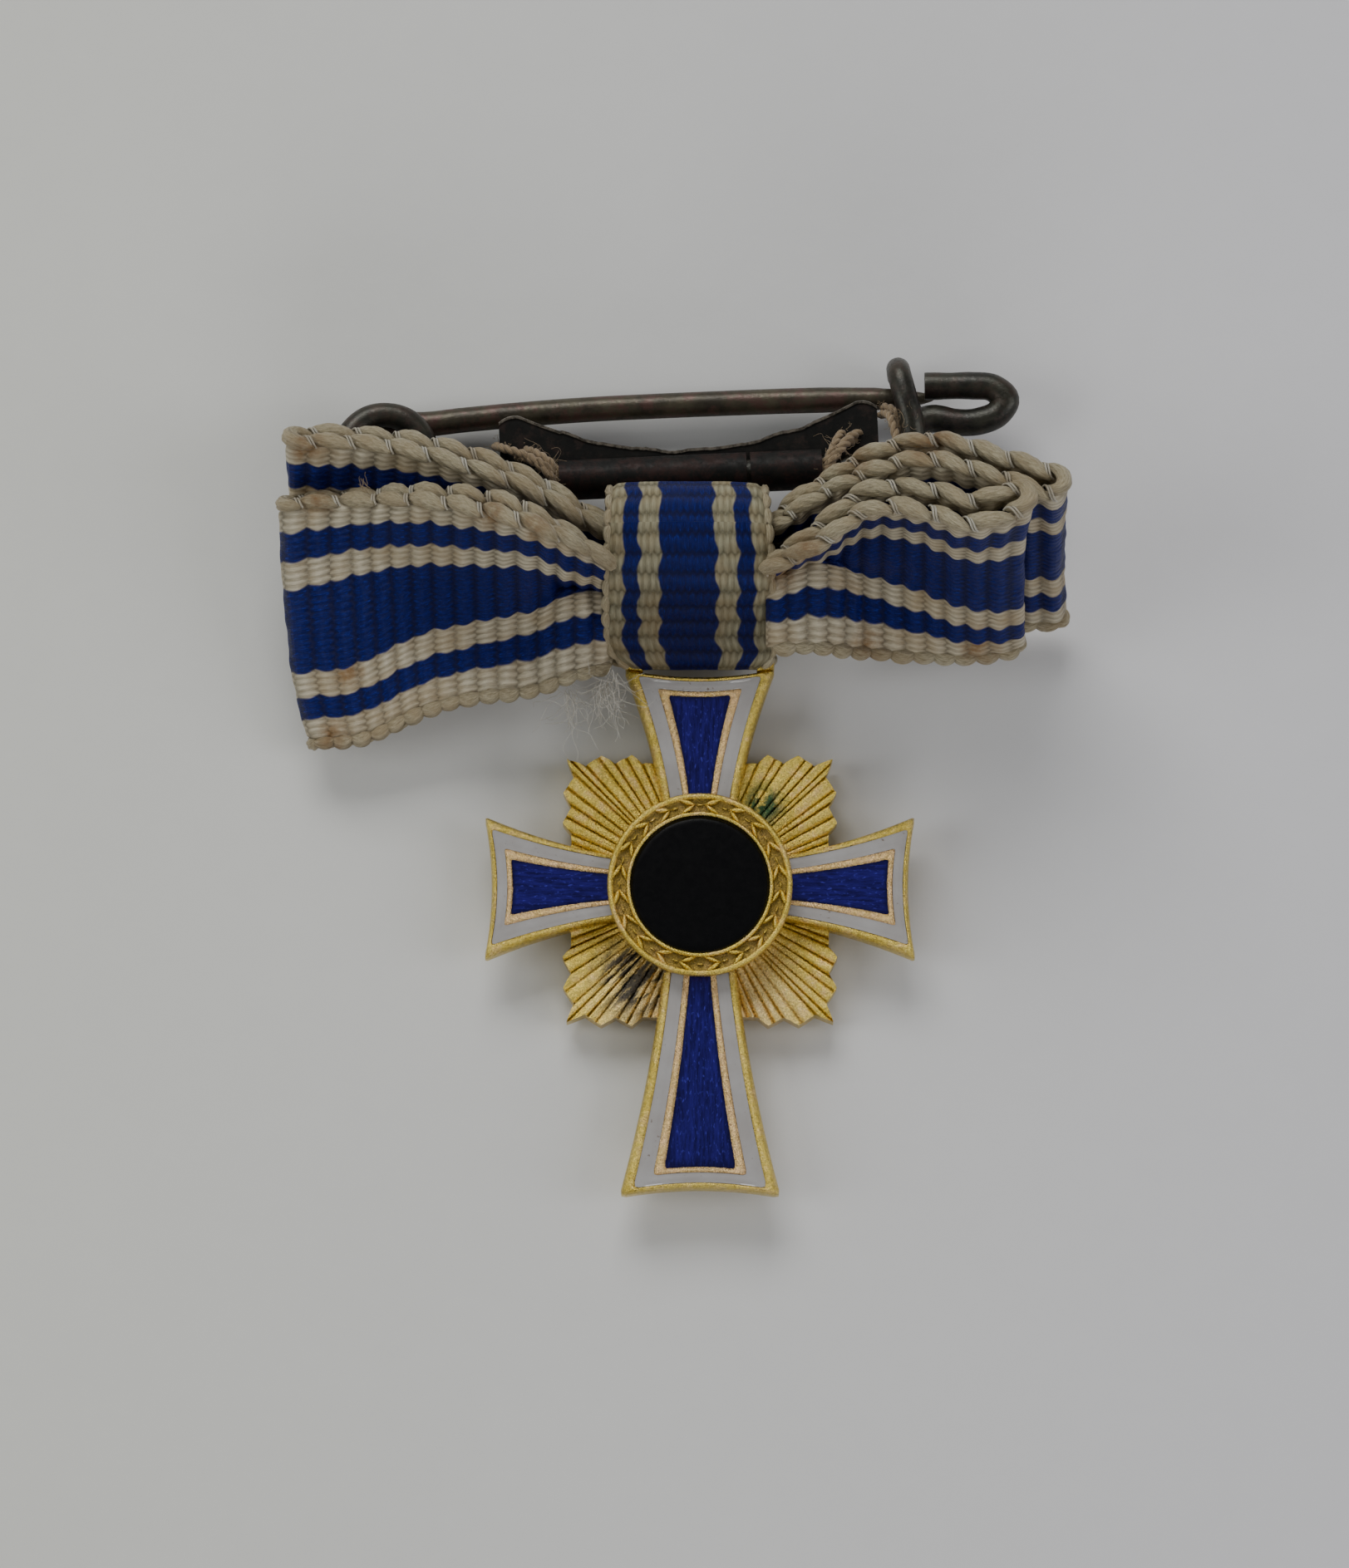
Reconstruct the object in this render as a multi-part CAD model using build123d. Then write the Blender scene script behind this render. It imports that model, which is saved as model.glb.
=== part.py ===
from build123d import *
import os
from math import cos, radians, sin, tan

# An enamelled cross hanging from a ribbon bow with a brooch pin, lying on its back.
# Millimetres. It is built about the cross's centre, with the surface it lies on at Z = 0, and is
# moved at the end so that the origin is the bottom centre of the whole object's box.
# X runs to the right across the bow, Y up from the cross to the pin, Z towards the viewer.

# --- cross, from back to front -----------------------------------------------------------------
RIVET_HEAD_Z = 0.35  # thickness of the rivet head that the cross lies on
RAY_PLATE_Z = 0.75  # thickness of the ray plate
CROSS_Z = 1.0  # thickness of the struck cross
RAY_BACK = RIVET_HEAD_Z
CROSS_BACK = RAY_BACK + RAY_PLATE_Z
CROSS_FRONT = CROSS_BACK + CROSS_Z
ENAMEL_DEPTH = 0.4
ENAMEL_DROP = 0.03  # how far the enamel lies below the gold rim
ENAMEL_GAP = 0.004  # free space between a fill and its recess

SIDE_ARM = 8.5  # centre to the corners of the left and right arms
TOP_ARM = 8.75
BOTTOM_ARM = 12.25
SIDE_END = 5.75  # width of an arm at its end
TOP_END = 6.0
BOTTOM_END = 6.35
END_DIP = 0.3  # hollow of an arm's end
FLANK_RIM = 0.38  # gold beside the enamel, along a flank
END_RIM = 0.29
WHITE_FLANK = 0.48
WHITE_END = 0.50
WALL = 0.28  # gold wall between white and blue
FLARE = 0.45  # slope of a flank near the arm's end

RING_R = 3.65  # medallion ring, outer radius
RING_FLAT_R = 3.42  # inside of the ring's raised edge
DISC_R = 2.74
RING_Z = 0.75
RING_STEP = 0.12  # height of the raised edge over the band
DISC_Z = 0.62
WAIST_R = RING_R - 0.25  # the enamel runs in under the ring to here
RIVET_R = 0.6
RIVET_HEAD_R = 1.5

RAY_TIP_R = 7.43  # centre to the corner tip of a ray group

# --- suspension --------------------------------------------------------------------------------
BAR_R = 0.3
BAR_Y = TOP_ARM + 0.6
BAR_Z = 2.0
EAR_INSIDE = 2.3  # centre to the inner face of an ear
EAR_Z = 0.5
EAR_R = 0.42

# --- ribbon ------------------------------------------------------------------------------------
RIBBON_Z = 0.3  # thickness of the grosgrain
KNOT_RIBBON_Z = 0.24
BAR_FIT = 0.05  # radial clearance of the knot ribbon round the bar
KNOT_WIDTH = 6.4
KNOT_X = -0.35  # middle of the knot
KNOT_FOOT = (-2.22, 2.05)  # the knot ribbon's sides where it is bunched between the ears
KNOT_LOW = (12.2, 4.35, 1.35)  # Y, Z and radius of the knot's lower roll
KNOT_HIGH = (13.75, 4.5, 1.95)  # and of its upper roll
CORE_GAP = 0.02
CORE_LOW_Y = 10.9

# --- brooch pin --------------------------------------------------------------------------------
WIRE_R = 0.5
NEEDLE_Z = 1.0
COIL_X = -12.5
COIL_Y = 17.33
COIL_R = 1.45  # to the middle of the wire
COIL_PITCH = 1.1
COIL_OPEN = 30  # degrees of the last turn left free for the needle's ball
NEEDLE_R = 0.45
NEEDLE_SLOPE = 2.7  # degrees, rising to the right
NEEDLE_LENGTH = 21.8
NEEDLE_TAPER = 4.5  # length of the tapered end
NEEDLE_TIP_R = 0.12
BAR_WIRE_Z = 2.65
BAR_WIRE_SLOPE = 2.6  # degrees, rising to the right
PLATE_LENGTH = 15.0
PLATE_X = -0.3  # middle of the plate
PLATE_Z = 0.35
PLATE_TOP_Y = 19.05
PLATE_MID_Y = 17.43  # top edge at the middle
CURL_HALF = 5.2  # the rolled edge reaches this far each way
CURL_SPLIT_X = 2.3
CURL_SPLIT = 0.16
CURL_FIT = 0.03
HOLE_R = 0.45
HOLE_X = 6.35
HOOK_X = 8.0
THREAD_R = 0.18


def plate(face, bottom, thickness):
    """Stand a flat face on the height bottom and give it a thickness."""
    return Pos(0, 0, bottom) * extrude(face, thickness)


# --- cross -------------------------------------------------------------------------------------
ARMS = {  # turn, length, width at the end; widths at the medallion: arm, white, wall and blue
    "top": (0, TOP_ARM, TOP_END, (3.0, 2.28, 1.28, 0.78)),
    "left": (90, SIDE_ARM, SIDE_END, (2.6, 2.2, 1.38, 0.98)),
    "bottom": (180, BOTTOM_ARM, BOTTOM_END, (2.9, 2.24, 1.26, 0.78)),
    "right": (270, SIDE_ARM, SIDE_END, (2.6, 2.2, 1.38, 0.98)),
}


def arm_face(length, end_width, waist, start, end_inset=0.0, flank_inset=0.0):
    """An arm pointing along +Y from start, with hollow flanks and a hollow end."""
    corner_x = end_width / 2 - 1.12 * flank_inset - FLARE * end_inset
    corner_y = length - end_inset
    waist_x = waist / 2
    middle_x = waist_x + 0.4 * (corner_x - waist_x)
    middle_y = start + 0.5 * (corner_y - start)
    right = ThreePointArc((waist_x, start), (middle_x, middle_y), (corner_x, corner_y))
    end = ThreePointArc((corner_x, corner_y), (0, corner_y - END_DIP), (-corner_x, corner_y))
    left = ThreePointArc((-corner_x, corner_y), (-middle_x, middle_y), (-waist_x, start))
    foot = Line((-waist_x, start), (waist_x, start))
    return make_face([right, end, left, foot])


def outer_arm(name):
    turn, length, end_width, waists = ARMS[name]
    return Rot(0, 0, turn) * arm_face(length, end_width, waists[0], WAIST_R)


def inset_arm(name, end_inset, flank_inset, band, extra=0.0):
    """The region of one arm inside an inset, for the enamel; extra leaves a free gap."""
    turn, length, end_width, waists = ARMS[name]
    waist = waists[band] - 2 * extra
    face = arm_face(length, end_width, waist, WAIST_R + extra, end_inset + extra, flank_inset + extra)
    return Rot(0, 0, turn) * face


def white_region(name, gap=0.0):
    outside = inset_arm(name, END_RIM, FLANK_RIM, 1, gap)
    inside = inset_arm(name, END_RIM + WHITE_END, FLANK_RIM + WHITE_FLANK, 2, -gap)
    return outside - inside


def blue_region(name, gap=0.0):
    return inset_arm(name, END_RIM + WHITE_END + WALL, FLANK_RIM + WHITE_FLANK + WALL, 3, gap)


def cross_body():
    """The struck cross: four arms on a hub, with recesses for the enamel and two ears."""
    hub = Circle(RING_R - 0.2)
    lower = hub
    for name in ARMS:
        lower += outer_arm(name)
    body = plate(lower, CROSS_BACK, CROSS_Z)
    floor = CROSS_FRONT - ENAMEL_DEPTH
    for name in ARMS:
        body -= plate(white_region(name), floor, CROSS_Z)
        body -= plate(blue_region(name), floor, CROSS_Z)
    body -= Pos(0, 0, CROSS_BACK) * Cylinder(RIVET_R, 4 * CROSS_Z)
    for side in (-1, 1):
        body += ear(side)
    return body


def ear(side):
    """The loop end that carries the suspension bar above a top corner."""
    root = Pos(TOP_ARM - 0.12, (CROSS_BACK + CROSS_FRONT) / 2) * Rectangle(0.3, 0.8 * CROSS_Z)
    eye = Pos(BAR_Y, BAR_Z) * Circle(EAR_R)
    profile = make_hull(root.edges() + eye.edges()) - Pos(BAR_Y, BAR_Z) * Circle(BAR_R)
    blank = extrude(Plane.YZ * profile, EAR_Z)
    start = EAR_INSIDE if side > 0 else -EAR_INSIDE - EAR_Z
    return Pos(start, 0, 0) * blank


def suspension_bar():
    length = 2 * (EAR_INSIDE + EAR_Z)
    return Pos(0, BAR_Y, BAR_Z) * Rot(0, 90, 0) * Cylinder(BAR_R, length)


def enamel(region):
    depth = ENAMEL_DEPTH - ENAMEL_DROP
    return plate(region, CROSS_FRONT - ENAMEL_DEPTH, depth)


def ray_outline():
    """A square star: each corner has a long tip and two more tips on each side of it."""
    half = RAY_TIP_R / 2**0.5
    side = [  # across and out, as shares of the corner tip's place
        (0.22, 0.965),
        (0.36, 0.965),
        (0.43, 0.965),
        (0.51, 1.03),
        (0.63, 0.965),
        (0.74, 1.025),
        (0.86, 0.945),
    ]
    corner = side + [(1.0, 1.0)] + [(out, across) for across, out in reversed(side)]
    points = []
    for quarter in range(4):
        turn = radians(-90 * quarter)
        for x, y in corner:
            points.append((half * (x * cos(turn) - y * sin(turn)), half * (x * sin(turn) + y * cos(turn))))
    return make_face(Polyline(*points, close=True))


def ray_plate():
    body = plate(ray_outline(), RAY_BACK, RAY_PLATE_Z)
    return body - Pos(0, 0, RAY_BACK) * Cylinder(RIVET_R, 4 * RAY_PLATE_Z)


def medallion_ring():
    band = Circle(RING_R) - Circle(DISC_R)
    edge = Circle(RING_R) - Circle(RING_FLAT_R)
    lip = Circle(DISC_R + 0.16) - Circle(DISC_R)
    ring = plate(band, CROSS_FRONT, RING_Z - RING_STEP)
    ring += plate(edge, CROSS_FRONT, RING_Z)
    return ring + plate(lip, CROSS_FRONT, RING_Z)


def medallion_disc():
    return plate(Circle(DISC_R - ENAMEL_GAP), CROSS_FRONT, DISC_Z)


def centre_rivet():
    head = Cylinder(RIVET_HEAD_R, RIVET_HEAD_Z, align=(Align.CENTER, Align.CENTER, Align.MIN))
    head = chamfer(head.edges().group_by(Axis.Z)[0], 0.12)
    shank = Pos(0, 0, RIVET_HEAD_Z) * Cylinder(
        RIVET_R - ENAMEL_GAP, CROSS_FRONT - RIVET_HEAD_Z, align=(Align.CENTER, Align.CENTER, Align.MIN)
    )
    return head + shank


# --- ribbon ------------------------------------------------------------------------------------
def knot_profile(shrink):
    """The knot's side view: a band round the bar and the gathered bow, shrunk by an offset."""
    rolls = [(BAR_Y, BAR_Z, BAR_R + BAR_FIT + KNOT_RIBBON_Z), KNOT_LOW, KNOT_HIGH]
    edges = []
    for y, z, radius in rolls:
        edges += (Pos(y, z) * Circle(radius - shrink)).edges()
    return make_hull(edges)


def across_knot(profile, width):
    """Extrude a side view along X, about the knot's middle."""
    return Pos(KNOT_X, 0, 0) * extrude(Plane.YZ * profile, width / 2, both=True)


def knot_wrap():
    """A closed band of ribbon, hollow, bunched to a narrower foot round the bar."""
    hollow = across_knot(knot_profile(KNOT_RIBBON_Z), 2 * KNOT_WIDTH)
    band = across_knot(knot_profile(0.0), KNOT_WIDTH) - hollow
    foot_top = BAR_Y + 0.55
    for edge, side in zip(KNOT_FOOT, (Align.MAX, Align.MIN)):
        band -= Pos(edge, foot_top, 0) * Box(KNOT_WIDTH, 4, 12, align=(side, Align.MAX, Align.CENTER))
    return band


def bow_core():
    """The bow's pinched middle, which fills the knot above the bar."""
    block = across_knot(knot_profile(KNOT_RIBBON_Z + CORE_GAP), KNOT_WIDTH)
    return block & Pos(0, CORE_LOW_Y, 0) * Box(20, 20, 30, align=(Align.CENTER, Align.MIN, Align.CENTER))


def loop_slab(sections, depth):
    """A folded loop as one slab: each section runs from its lower to its upper selvage, (x, y, z)
    on the front layer, and the slab reaches back by the distance between its two layers."""
    faces = []
    for low, high in sections:
        low, high = Vector(*low), Vector(*high)
        along = (high - low).normalized()
        front = Vector(1, 0, 0).cross(along).normalized()
        lift = front * (RIBBON_Z / 2)
        back = front * (depth + RIBBON_Z / 2)
        corners = [low + lift, high + lift, high - back, low - back]
        faces.append(make_face(Polyline(*corners, close=True)))
    return loft(faces, ruled=True)


KNOT_RIGHT = KNOT_X + KNOT_WIDTH / 2
KNOT_LEFT = KNOT_X - KNOT_WIDTH / 2
LOOPS = {
    "bow_front_right": (
        1.25,
        [
            ((KNOT_RIGHT, 8.9, 4.2), (KNOT_RIGHT, 11.6, 6.5)),
            ((7.1, 8.75, 3.2), (7.1, 13.6, 9.0)),
            ((12.6, 8.75, 2.6), (12.6, 13.2, 10.8)),
        ],
    ),
    "bow_rear_right": (
        0.8,
        [
            ((KNOT_RIGHT, 10.9, 3.2), (KNOT_RIGHT, 13.9, 5.9)),
            ((7.1, 10.6, 1.8), (7.1, 15.9, 8.3)),
            ((12.9, 10.75, 1.5), (12.9, 15.1, 9.9)),
            ((14.4, 10.3, 1.8), (14.4, 14.3, 9.8)),
        ],
    ),
    "bow_front_left": (
        0.9,
        [
            ((-16.2, 5.6, 2.3), (-16.2, 14.6, 6.5)),
            ((-9.2, 6.8, 3.3), (-9.2, 14.6, 7.4)),
            ((KNOT_LEFT, 8.0, 4.0), (KNOT_LEFT, 11.6, 6.3)),
        ],
    ),
    "bow_rear_left": (
        0.55,
        [
            ((-16.0, 8.1, 1.55), (-16.0, 16.8, 5.7)),
            ((-9.2, 8.6, 2.0), (-9.2, 15.9, 6.1)),
            ((KNOT_LEFT, 10.8, 3.3), (KNOT_LEFT, 14.1, 5.3)),
        ],
    ),
}


# --- brooch pin --------------------------------------------------------------------------------
def bar_wire_y(x):
    """Height of the pin's bar over X: it leaves the coil's lower side and rises to the right."""
    return COIL_Y - COIL_R + (x - COIL_X) * tan(radians(BAR_WIRE_SLOPE))


def wire(points, radius, bend):
    """Round wire along straight runs joined by bends of one radius."""
    path = FilletPolyline(*points, radius=bend)
    return sweep(Plane(path @ 0, z_dir=path % 0) * Circle(radius), path=path)


def coil():
    """The spring: one and a half turns, which stop short of the needle's ball."""
    turn_angle = 540 - COIL_OPEN
    rise = COIL_PITCH * turn_angle / 360
    helix = Helix(COIL_PITCH, rise, COIL_R)
    turns = sweep(Plane(helix @ 0, z_dir=helix % 0) * Circle(WIRE_R), path=helix, is_frenet=True)
    return Pos(COIL_X, COIL_Y, BAR_WIRE_Z - rise) * Rot(0, 0, 90 + COIL_OPEN) * turns


def pin_base_wire():
    """The bar, with the coil at its left end and a loop at its right end."""
    loop_z = NEEDLE_Z + 1.12
    low_y, high_y = 18.68, 20.05
    far_x = 12.12
    start = (COIL_X, bar_wire_y(COIL_X), BAR_WIRE_Z)
    bar = wire(
        [
            start,
            (HOOK_X - 1.2, bar_wire_y(HOOK_X - 1.2), BAR_WIRE_Z),
            (HOOK_X + 1.35, low_y, loop_z),
            (far_x, low_y + 0.05, loop_z),
            (far_x, high_y, loop_z),
            (HOOK_X + 0.85, high_y, loop_z),
        ],
        WIRE_R,
        0.64,
    )
    return bar + Pos(*start) * Sphere(WIRE_R) + coil()


def needle_frame():
    """The needle's root: where it leaves the coil, with X along the needle."""
    slope = radians(NEEDLE_SLOPE)
    root = Vector(COIL_X - COIL_R * sin(slope), COIL_Y + COIL_R * cos(slope), NEEDLE_Z)
    return Pos(root.X, root.Y, root.Z) * Rot(0, 0, NEEDLE_SLOPE)


def pin_needle():
    """A ball at the coil, a straight shaft and a tapered end."""
    straight = NEEDLE_LENGTH - NEEDLE_TAPER
    ball = Sphere(NEEDLE_R)
    shaft = Pos(straight / 2, 0, 0) * Rot(0, 90, 0) * Cylinder(NEEDLE_R, straight)
    taper = Cone(NEEDLE_R, NEEDLE_TIP_R, NEEDLE_TAPER)
    point = Pos(straight + NEEDLE_TAPER / 2, 0, 0) * Rot(0, 90, 0) * taper
    return needle_frame() * (ball + shaft + point)


def catch_hook():
    """Wire that rises in front of the needle and bends back over it."""
    front_z = NEEDLE_Z + 2.2
    foot_y = bar_wire_y(HOOK_X) + 1.0
    top_y = 20.58
    path = [
        (HOOK_X + 0.25, foot_y, front_z - 0.15),
        (HOOK_X - 0.2, top_y, front_z),
        (HOOK_X - 0.25, top_y + 0.1, NEEDLE_Z - 0.3),
    ]
    return wire(path, WIRE_R * 0.94, 0.75)


def pin_plate():
    """A strip with a hollow upper edge, two sewing holes, and its lower edge rolled on the bar."""
    half = PLATE_LENGTH / 2
    inner = WIRE_R + CURL_FIT
    outer = inner + 0.8 * PLATE_Z
    low_y = bar_wire_y(PLATE_X)
    strip_front = BAR_WIRE_Z - WIRE_R - CURL_FIT
    shoulder = half - 1.3
    edge = [
        Line((-half, low_y), (half, low_y)),
        Line((half, low_y), (half, PLATE_TOP_Y)),
        Line((half, PLATE_TOP_Y), (shoulder, PLATE_TOP_Y)),
        Spline(
            (shoulder, PLATE_TOP_Y),
            (0.45 * half, PLATE_MID_Y + 0.35),
            (0, PLATE_MID_Y),
            (-0.45 * half, PLATE_MID_Y + 0.35),
            (-shoulder, PLATE_TOP_Y),
        ),
        Line((-shoulder, PLATE_TOP_Y), (-half, PLATE_TOP_Y)),
        Line((-half, PLATE_TOP_Y), (-half, low_y)),
    ]
    strip = plate(make_face(edge), strip_front - PLATE_Z, PLATE_Z)
    for side in (-1, 1):
        strip -= Pos(side * HOLE_X, low_y + 0.95, strip_front) * Cylinder(HOLE_R, 4)
    roll = Pos(0, low_y, BAR_WIRE_Z) * Rot(0, 90, 0) * (
        Cylinder(outer, 2 * CURL_HALF) - Cylinder(inner, 3 * CURL_HALF)
    )
    roll -= Pos(CURL_SPLIT_X, low_y, BAR_WIRE_Z) * Box(CURL_SPLIT, 4, 4)
    bore = Pos(0, low_y, BAR_WIRE_Z) * Rot(0, 90, 0) * Cylinder(inner, 3 * CURL_HALF)
    body = (strip - bore) + roll
    about = Pos(0, low_y, 0) * Rot(0, 0, BAR_WIRE_SLOPE) * Pos(0, -low_y, 0)
    return Pos(PLATE_X, 0, 0) * about * body


def stitch(x, lean):
    """Two strands of thread from a plate hole, over the bar, to the bow's back."""
    low_y = bar_wire_y(x)
    strands = []
    for offset in (-0.2, 0.2):
        strands.append(
            wire(
                [
                    (x + offset, low_y + 0.95, 1.55),
                    (x + offset, low_y + 0.95, 3.35),
                    (x + offset + lean, low_y - 0.4, 3.7),
                    (x + offset + lean, low_y - 1.0, 3.0),
                ],
                THREAD_R,
                0.3,
            )
        )
    return strands[0] + strands[1]


def stitch_end():
    """The thread that runs round the plate's right end."""
    edge_x = PLATE_X + PLATE_LENGTH / 2 + 0.35
    low_y = bar_wire_y(edge_x)
    return wire(
        [
            (edge_x - 1.2, low_y + 1.75, 1.45),
            (edge_x, low_y + 1.7, 1.45),
            (edge_x, low_y + 1.5, 3.0),
            (edge_x - 0.6, low_y + 0.9, 3.6),
        ],
        THREAD_R,
        0.25,
    )


# --- the whole object --------------------------------------------------------------------------
def build():
    nodes = {
        "cross_body": cross_body(),
        "ray_plate": ray_plate(),
        "suspension_bar": suspension_bar(),
        "medallion_ring": medallion_ring(),
        "medallion_disc": medallion_disc(),
        "centre_rivet": centre_rivet(),
        "knot_wrap": knot_wrap(),
        "bow_core": bow_core(),
        "pin_base_wire": pin_base_wire(),
        "pin_needle": pin_needle(),
        "catch_hook": catch_hook(),
        "pin_plate": pin_plate(),
        "stitch_left": stitch(PLATE_X - HOLE_X, 0.45),
        "stitch_right": stitch(PLATE_X + HOLE_X, -0.35),
        "stitch_end": stitch_end(),
    }
    for name in ARMS:
        nodes[f"enamel_white_{name}"] = enamel(white_region(name, ENAMEL_GAP))
        nodes[f"enamel_blue_{name}"] = enamel(blue_region(name, ENAMEL_GAP))
    for name, (depth, sections) in LOOPS.items():
        nodes[name] = loop_slab(sections, depth)
    return nodes


def main():
    os.makedirs("parts", exist_ok=True)
    nodes = build()
    box = Compound(list(nodes.values())).bounding_box()
    middle = box.center()
    to_origin = Pos(-middle.X, -middle.Y, -box.min.Z)
    for name, shape in nodes.items():
        export_step(to_origin * shape, f"parts/{name}.step")
    print("moved by", -middle.X, -middle.Y, -box.min.Z, "size", box.size)


main()
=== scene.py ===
import math
import bmesh
import bpy
import numpy as np
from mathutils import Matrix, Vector


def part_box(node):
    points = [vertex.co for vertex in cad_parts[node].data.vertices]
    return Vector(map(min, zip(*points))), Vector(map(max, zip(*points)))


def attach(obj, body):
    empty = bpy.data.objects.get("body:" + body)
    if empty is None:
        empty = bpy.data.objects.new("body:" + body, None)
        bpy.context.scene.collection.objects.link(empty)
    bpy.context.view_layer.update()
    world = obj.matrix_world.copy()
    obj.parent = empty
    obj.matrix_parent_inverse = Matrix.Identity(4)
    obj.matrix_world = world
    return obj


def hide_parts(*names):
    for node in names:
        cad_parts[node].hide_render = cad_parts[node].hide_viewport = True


# Looks of an enamelled cross on a ribbon bow with a brooch pin. Meshes are made in millimetres
# about the cross's centre, with Z up from the surface, and are moved into the frame at the end.
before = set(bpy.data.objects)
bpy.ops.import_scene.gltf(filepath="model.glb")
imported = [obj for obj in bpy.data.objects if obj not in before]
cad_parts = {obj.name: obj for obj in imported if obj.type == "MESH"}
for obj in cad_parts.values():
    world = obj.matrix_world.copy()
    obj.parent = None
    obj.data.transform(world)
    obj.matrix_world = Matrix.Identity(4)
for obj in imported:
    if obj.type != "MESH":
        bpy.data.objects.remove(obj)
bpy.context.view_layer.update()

MM = 0.001
RNG = np.random.default_rng(7)
ring_low, ring_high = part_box("medallion_ring")
CENTRE = np.array([(ring_low.x + ring_high.x) / 2, (ring_low.y + ring_high.y) / 2, 0.0])


def span(node):
    """A CAD node's lowest and highest corners in millimetres about the cross's centre."""
    low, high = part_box(node)
    return (np.array(low) - CENTRE) / MM, (np.array(high) - CENTRE) / MM


CROSS_BACK = span("cross_body")[0][2]
CROSS_FRONT = span("enamel_white_top")[1][2] + 0.03
RAY_BACK = span("ray_plate")[0][2]
RING_R = span("medallion_ring")[1][0]
DISC_R = span("medallion_disc")[1][0]
BAR = (span("suspension_bar")[0] + span("suspension_bar")[1]) / 2
BAR_R = (span("suspension_bar")[1] - span("suspension_bar")[0])[2] / 2

# --- the view ----------------------------------------------------------------------------------
VIEW_TILT = math.radians(10)  # the camera leans this far from straight above, towards -Y
VIEW_DISTANCE = 400.0
VIEW_HEIGHT = 61.7  # what the picture's height shows at the cross
VIEW_MIDDLE = (-1.0, 4.05)  # the picture's middle, across and up from the cross's centre


def from_view(across, up, lift):
    """A point given as seen: across and up from the cross's centre, and lift towards the eye."""
    near = 1 - lift / VIEW_DISTANCE
    across = VIEW_MIDDLE[0] + (across - VIEW_MIDDLE[0]) * near
    up = VIEW_MIDDLE[1] + (up - VIEW_MIDDLE[1]) * near
    c, s = math.cos(VIEW_TILT), math.sin(VIEW_TILT)
    return np.array([across, up * c - lift * s, CROSS_FRONT + up * s + lift * c])


def seen(across, up, height):
    """The point at a height above the surface that is seen at a place."""
    lift = (height - CROSS_FRONT - up * math.sin(VIEW_TILT)) / math.cos(VIEW_TILT)
    return from_view(across, up, lift)


# --- mesh tools --------------------------------------------------------------------------------
def smooth(knots, values, at):
    """A smooth curve through values at the knots, read at other places."""
    knots, values, at = (np.asarray(a, float) for a in (knots, values, at))
    slopes = np.gradient(values, knots, axis=0)
    i = np.clip(np.searchsorted(knots, at) - 1, 0, len(knots) - 2)
    shape = (-1,) + (1,) * (values.ndim - 1)
    h = (knots[i + 1] - knots[i]).reshape(shape)
    t = (at - knots[i]).reshape(shape) / h
    start = (2 * t**3 - 3 * t**2 + 1) * values[i] + (t**3 - 2 * t**2 + t) * h * slopes[i]
    return start + (3 * t**2 - 2 * t**3) * values[i + 1] + (t**3 - t**2) * h * slopes[i + 1]


def lengths(points):
    """Distance along a row of points, from its first."""
    steps = np.linalg.norm(np.diff(points, axis=0), axis=-1)
    return np.concatenate([np.zeros_like(steps[:1]), np.cumsum(steps, axis=0)])


def unit(vectors):
    return vectors / np.maximum(np.linalg.norm(vectors, axis=-1, keepdims=True), 1e-12)


def resample(points, step):
    """The same line of points, or row of lines, with even steps of about the length given."""
    way = lengths(points)
    way = way if way.ndim == 1 else way.mean(axis=1)
    count = max(3, int(round(way[-1] / step)) + 1)
    at = np.linspace(0, way[-1], count)
    i = np.clip(np.searchsorted(way, at) - 1, 0, len(way) - 2)
    t = ((at - way[i]) / (way[i + 1] - way[i])).reshape((-1,) + (1,) * (points.ndim - 1))
    return points[i] * (1 - t) + points[i + 1] * t, at


def add_object(name, data):
    made = bpy.data.objects.new(name, data)
    bpy.context.scene.collection.objects.link(made)
    return made


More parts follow.
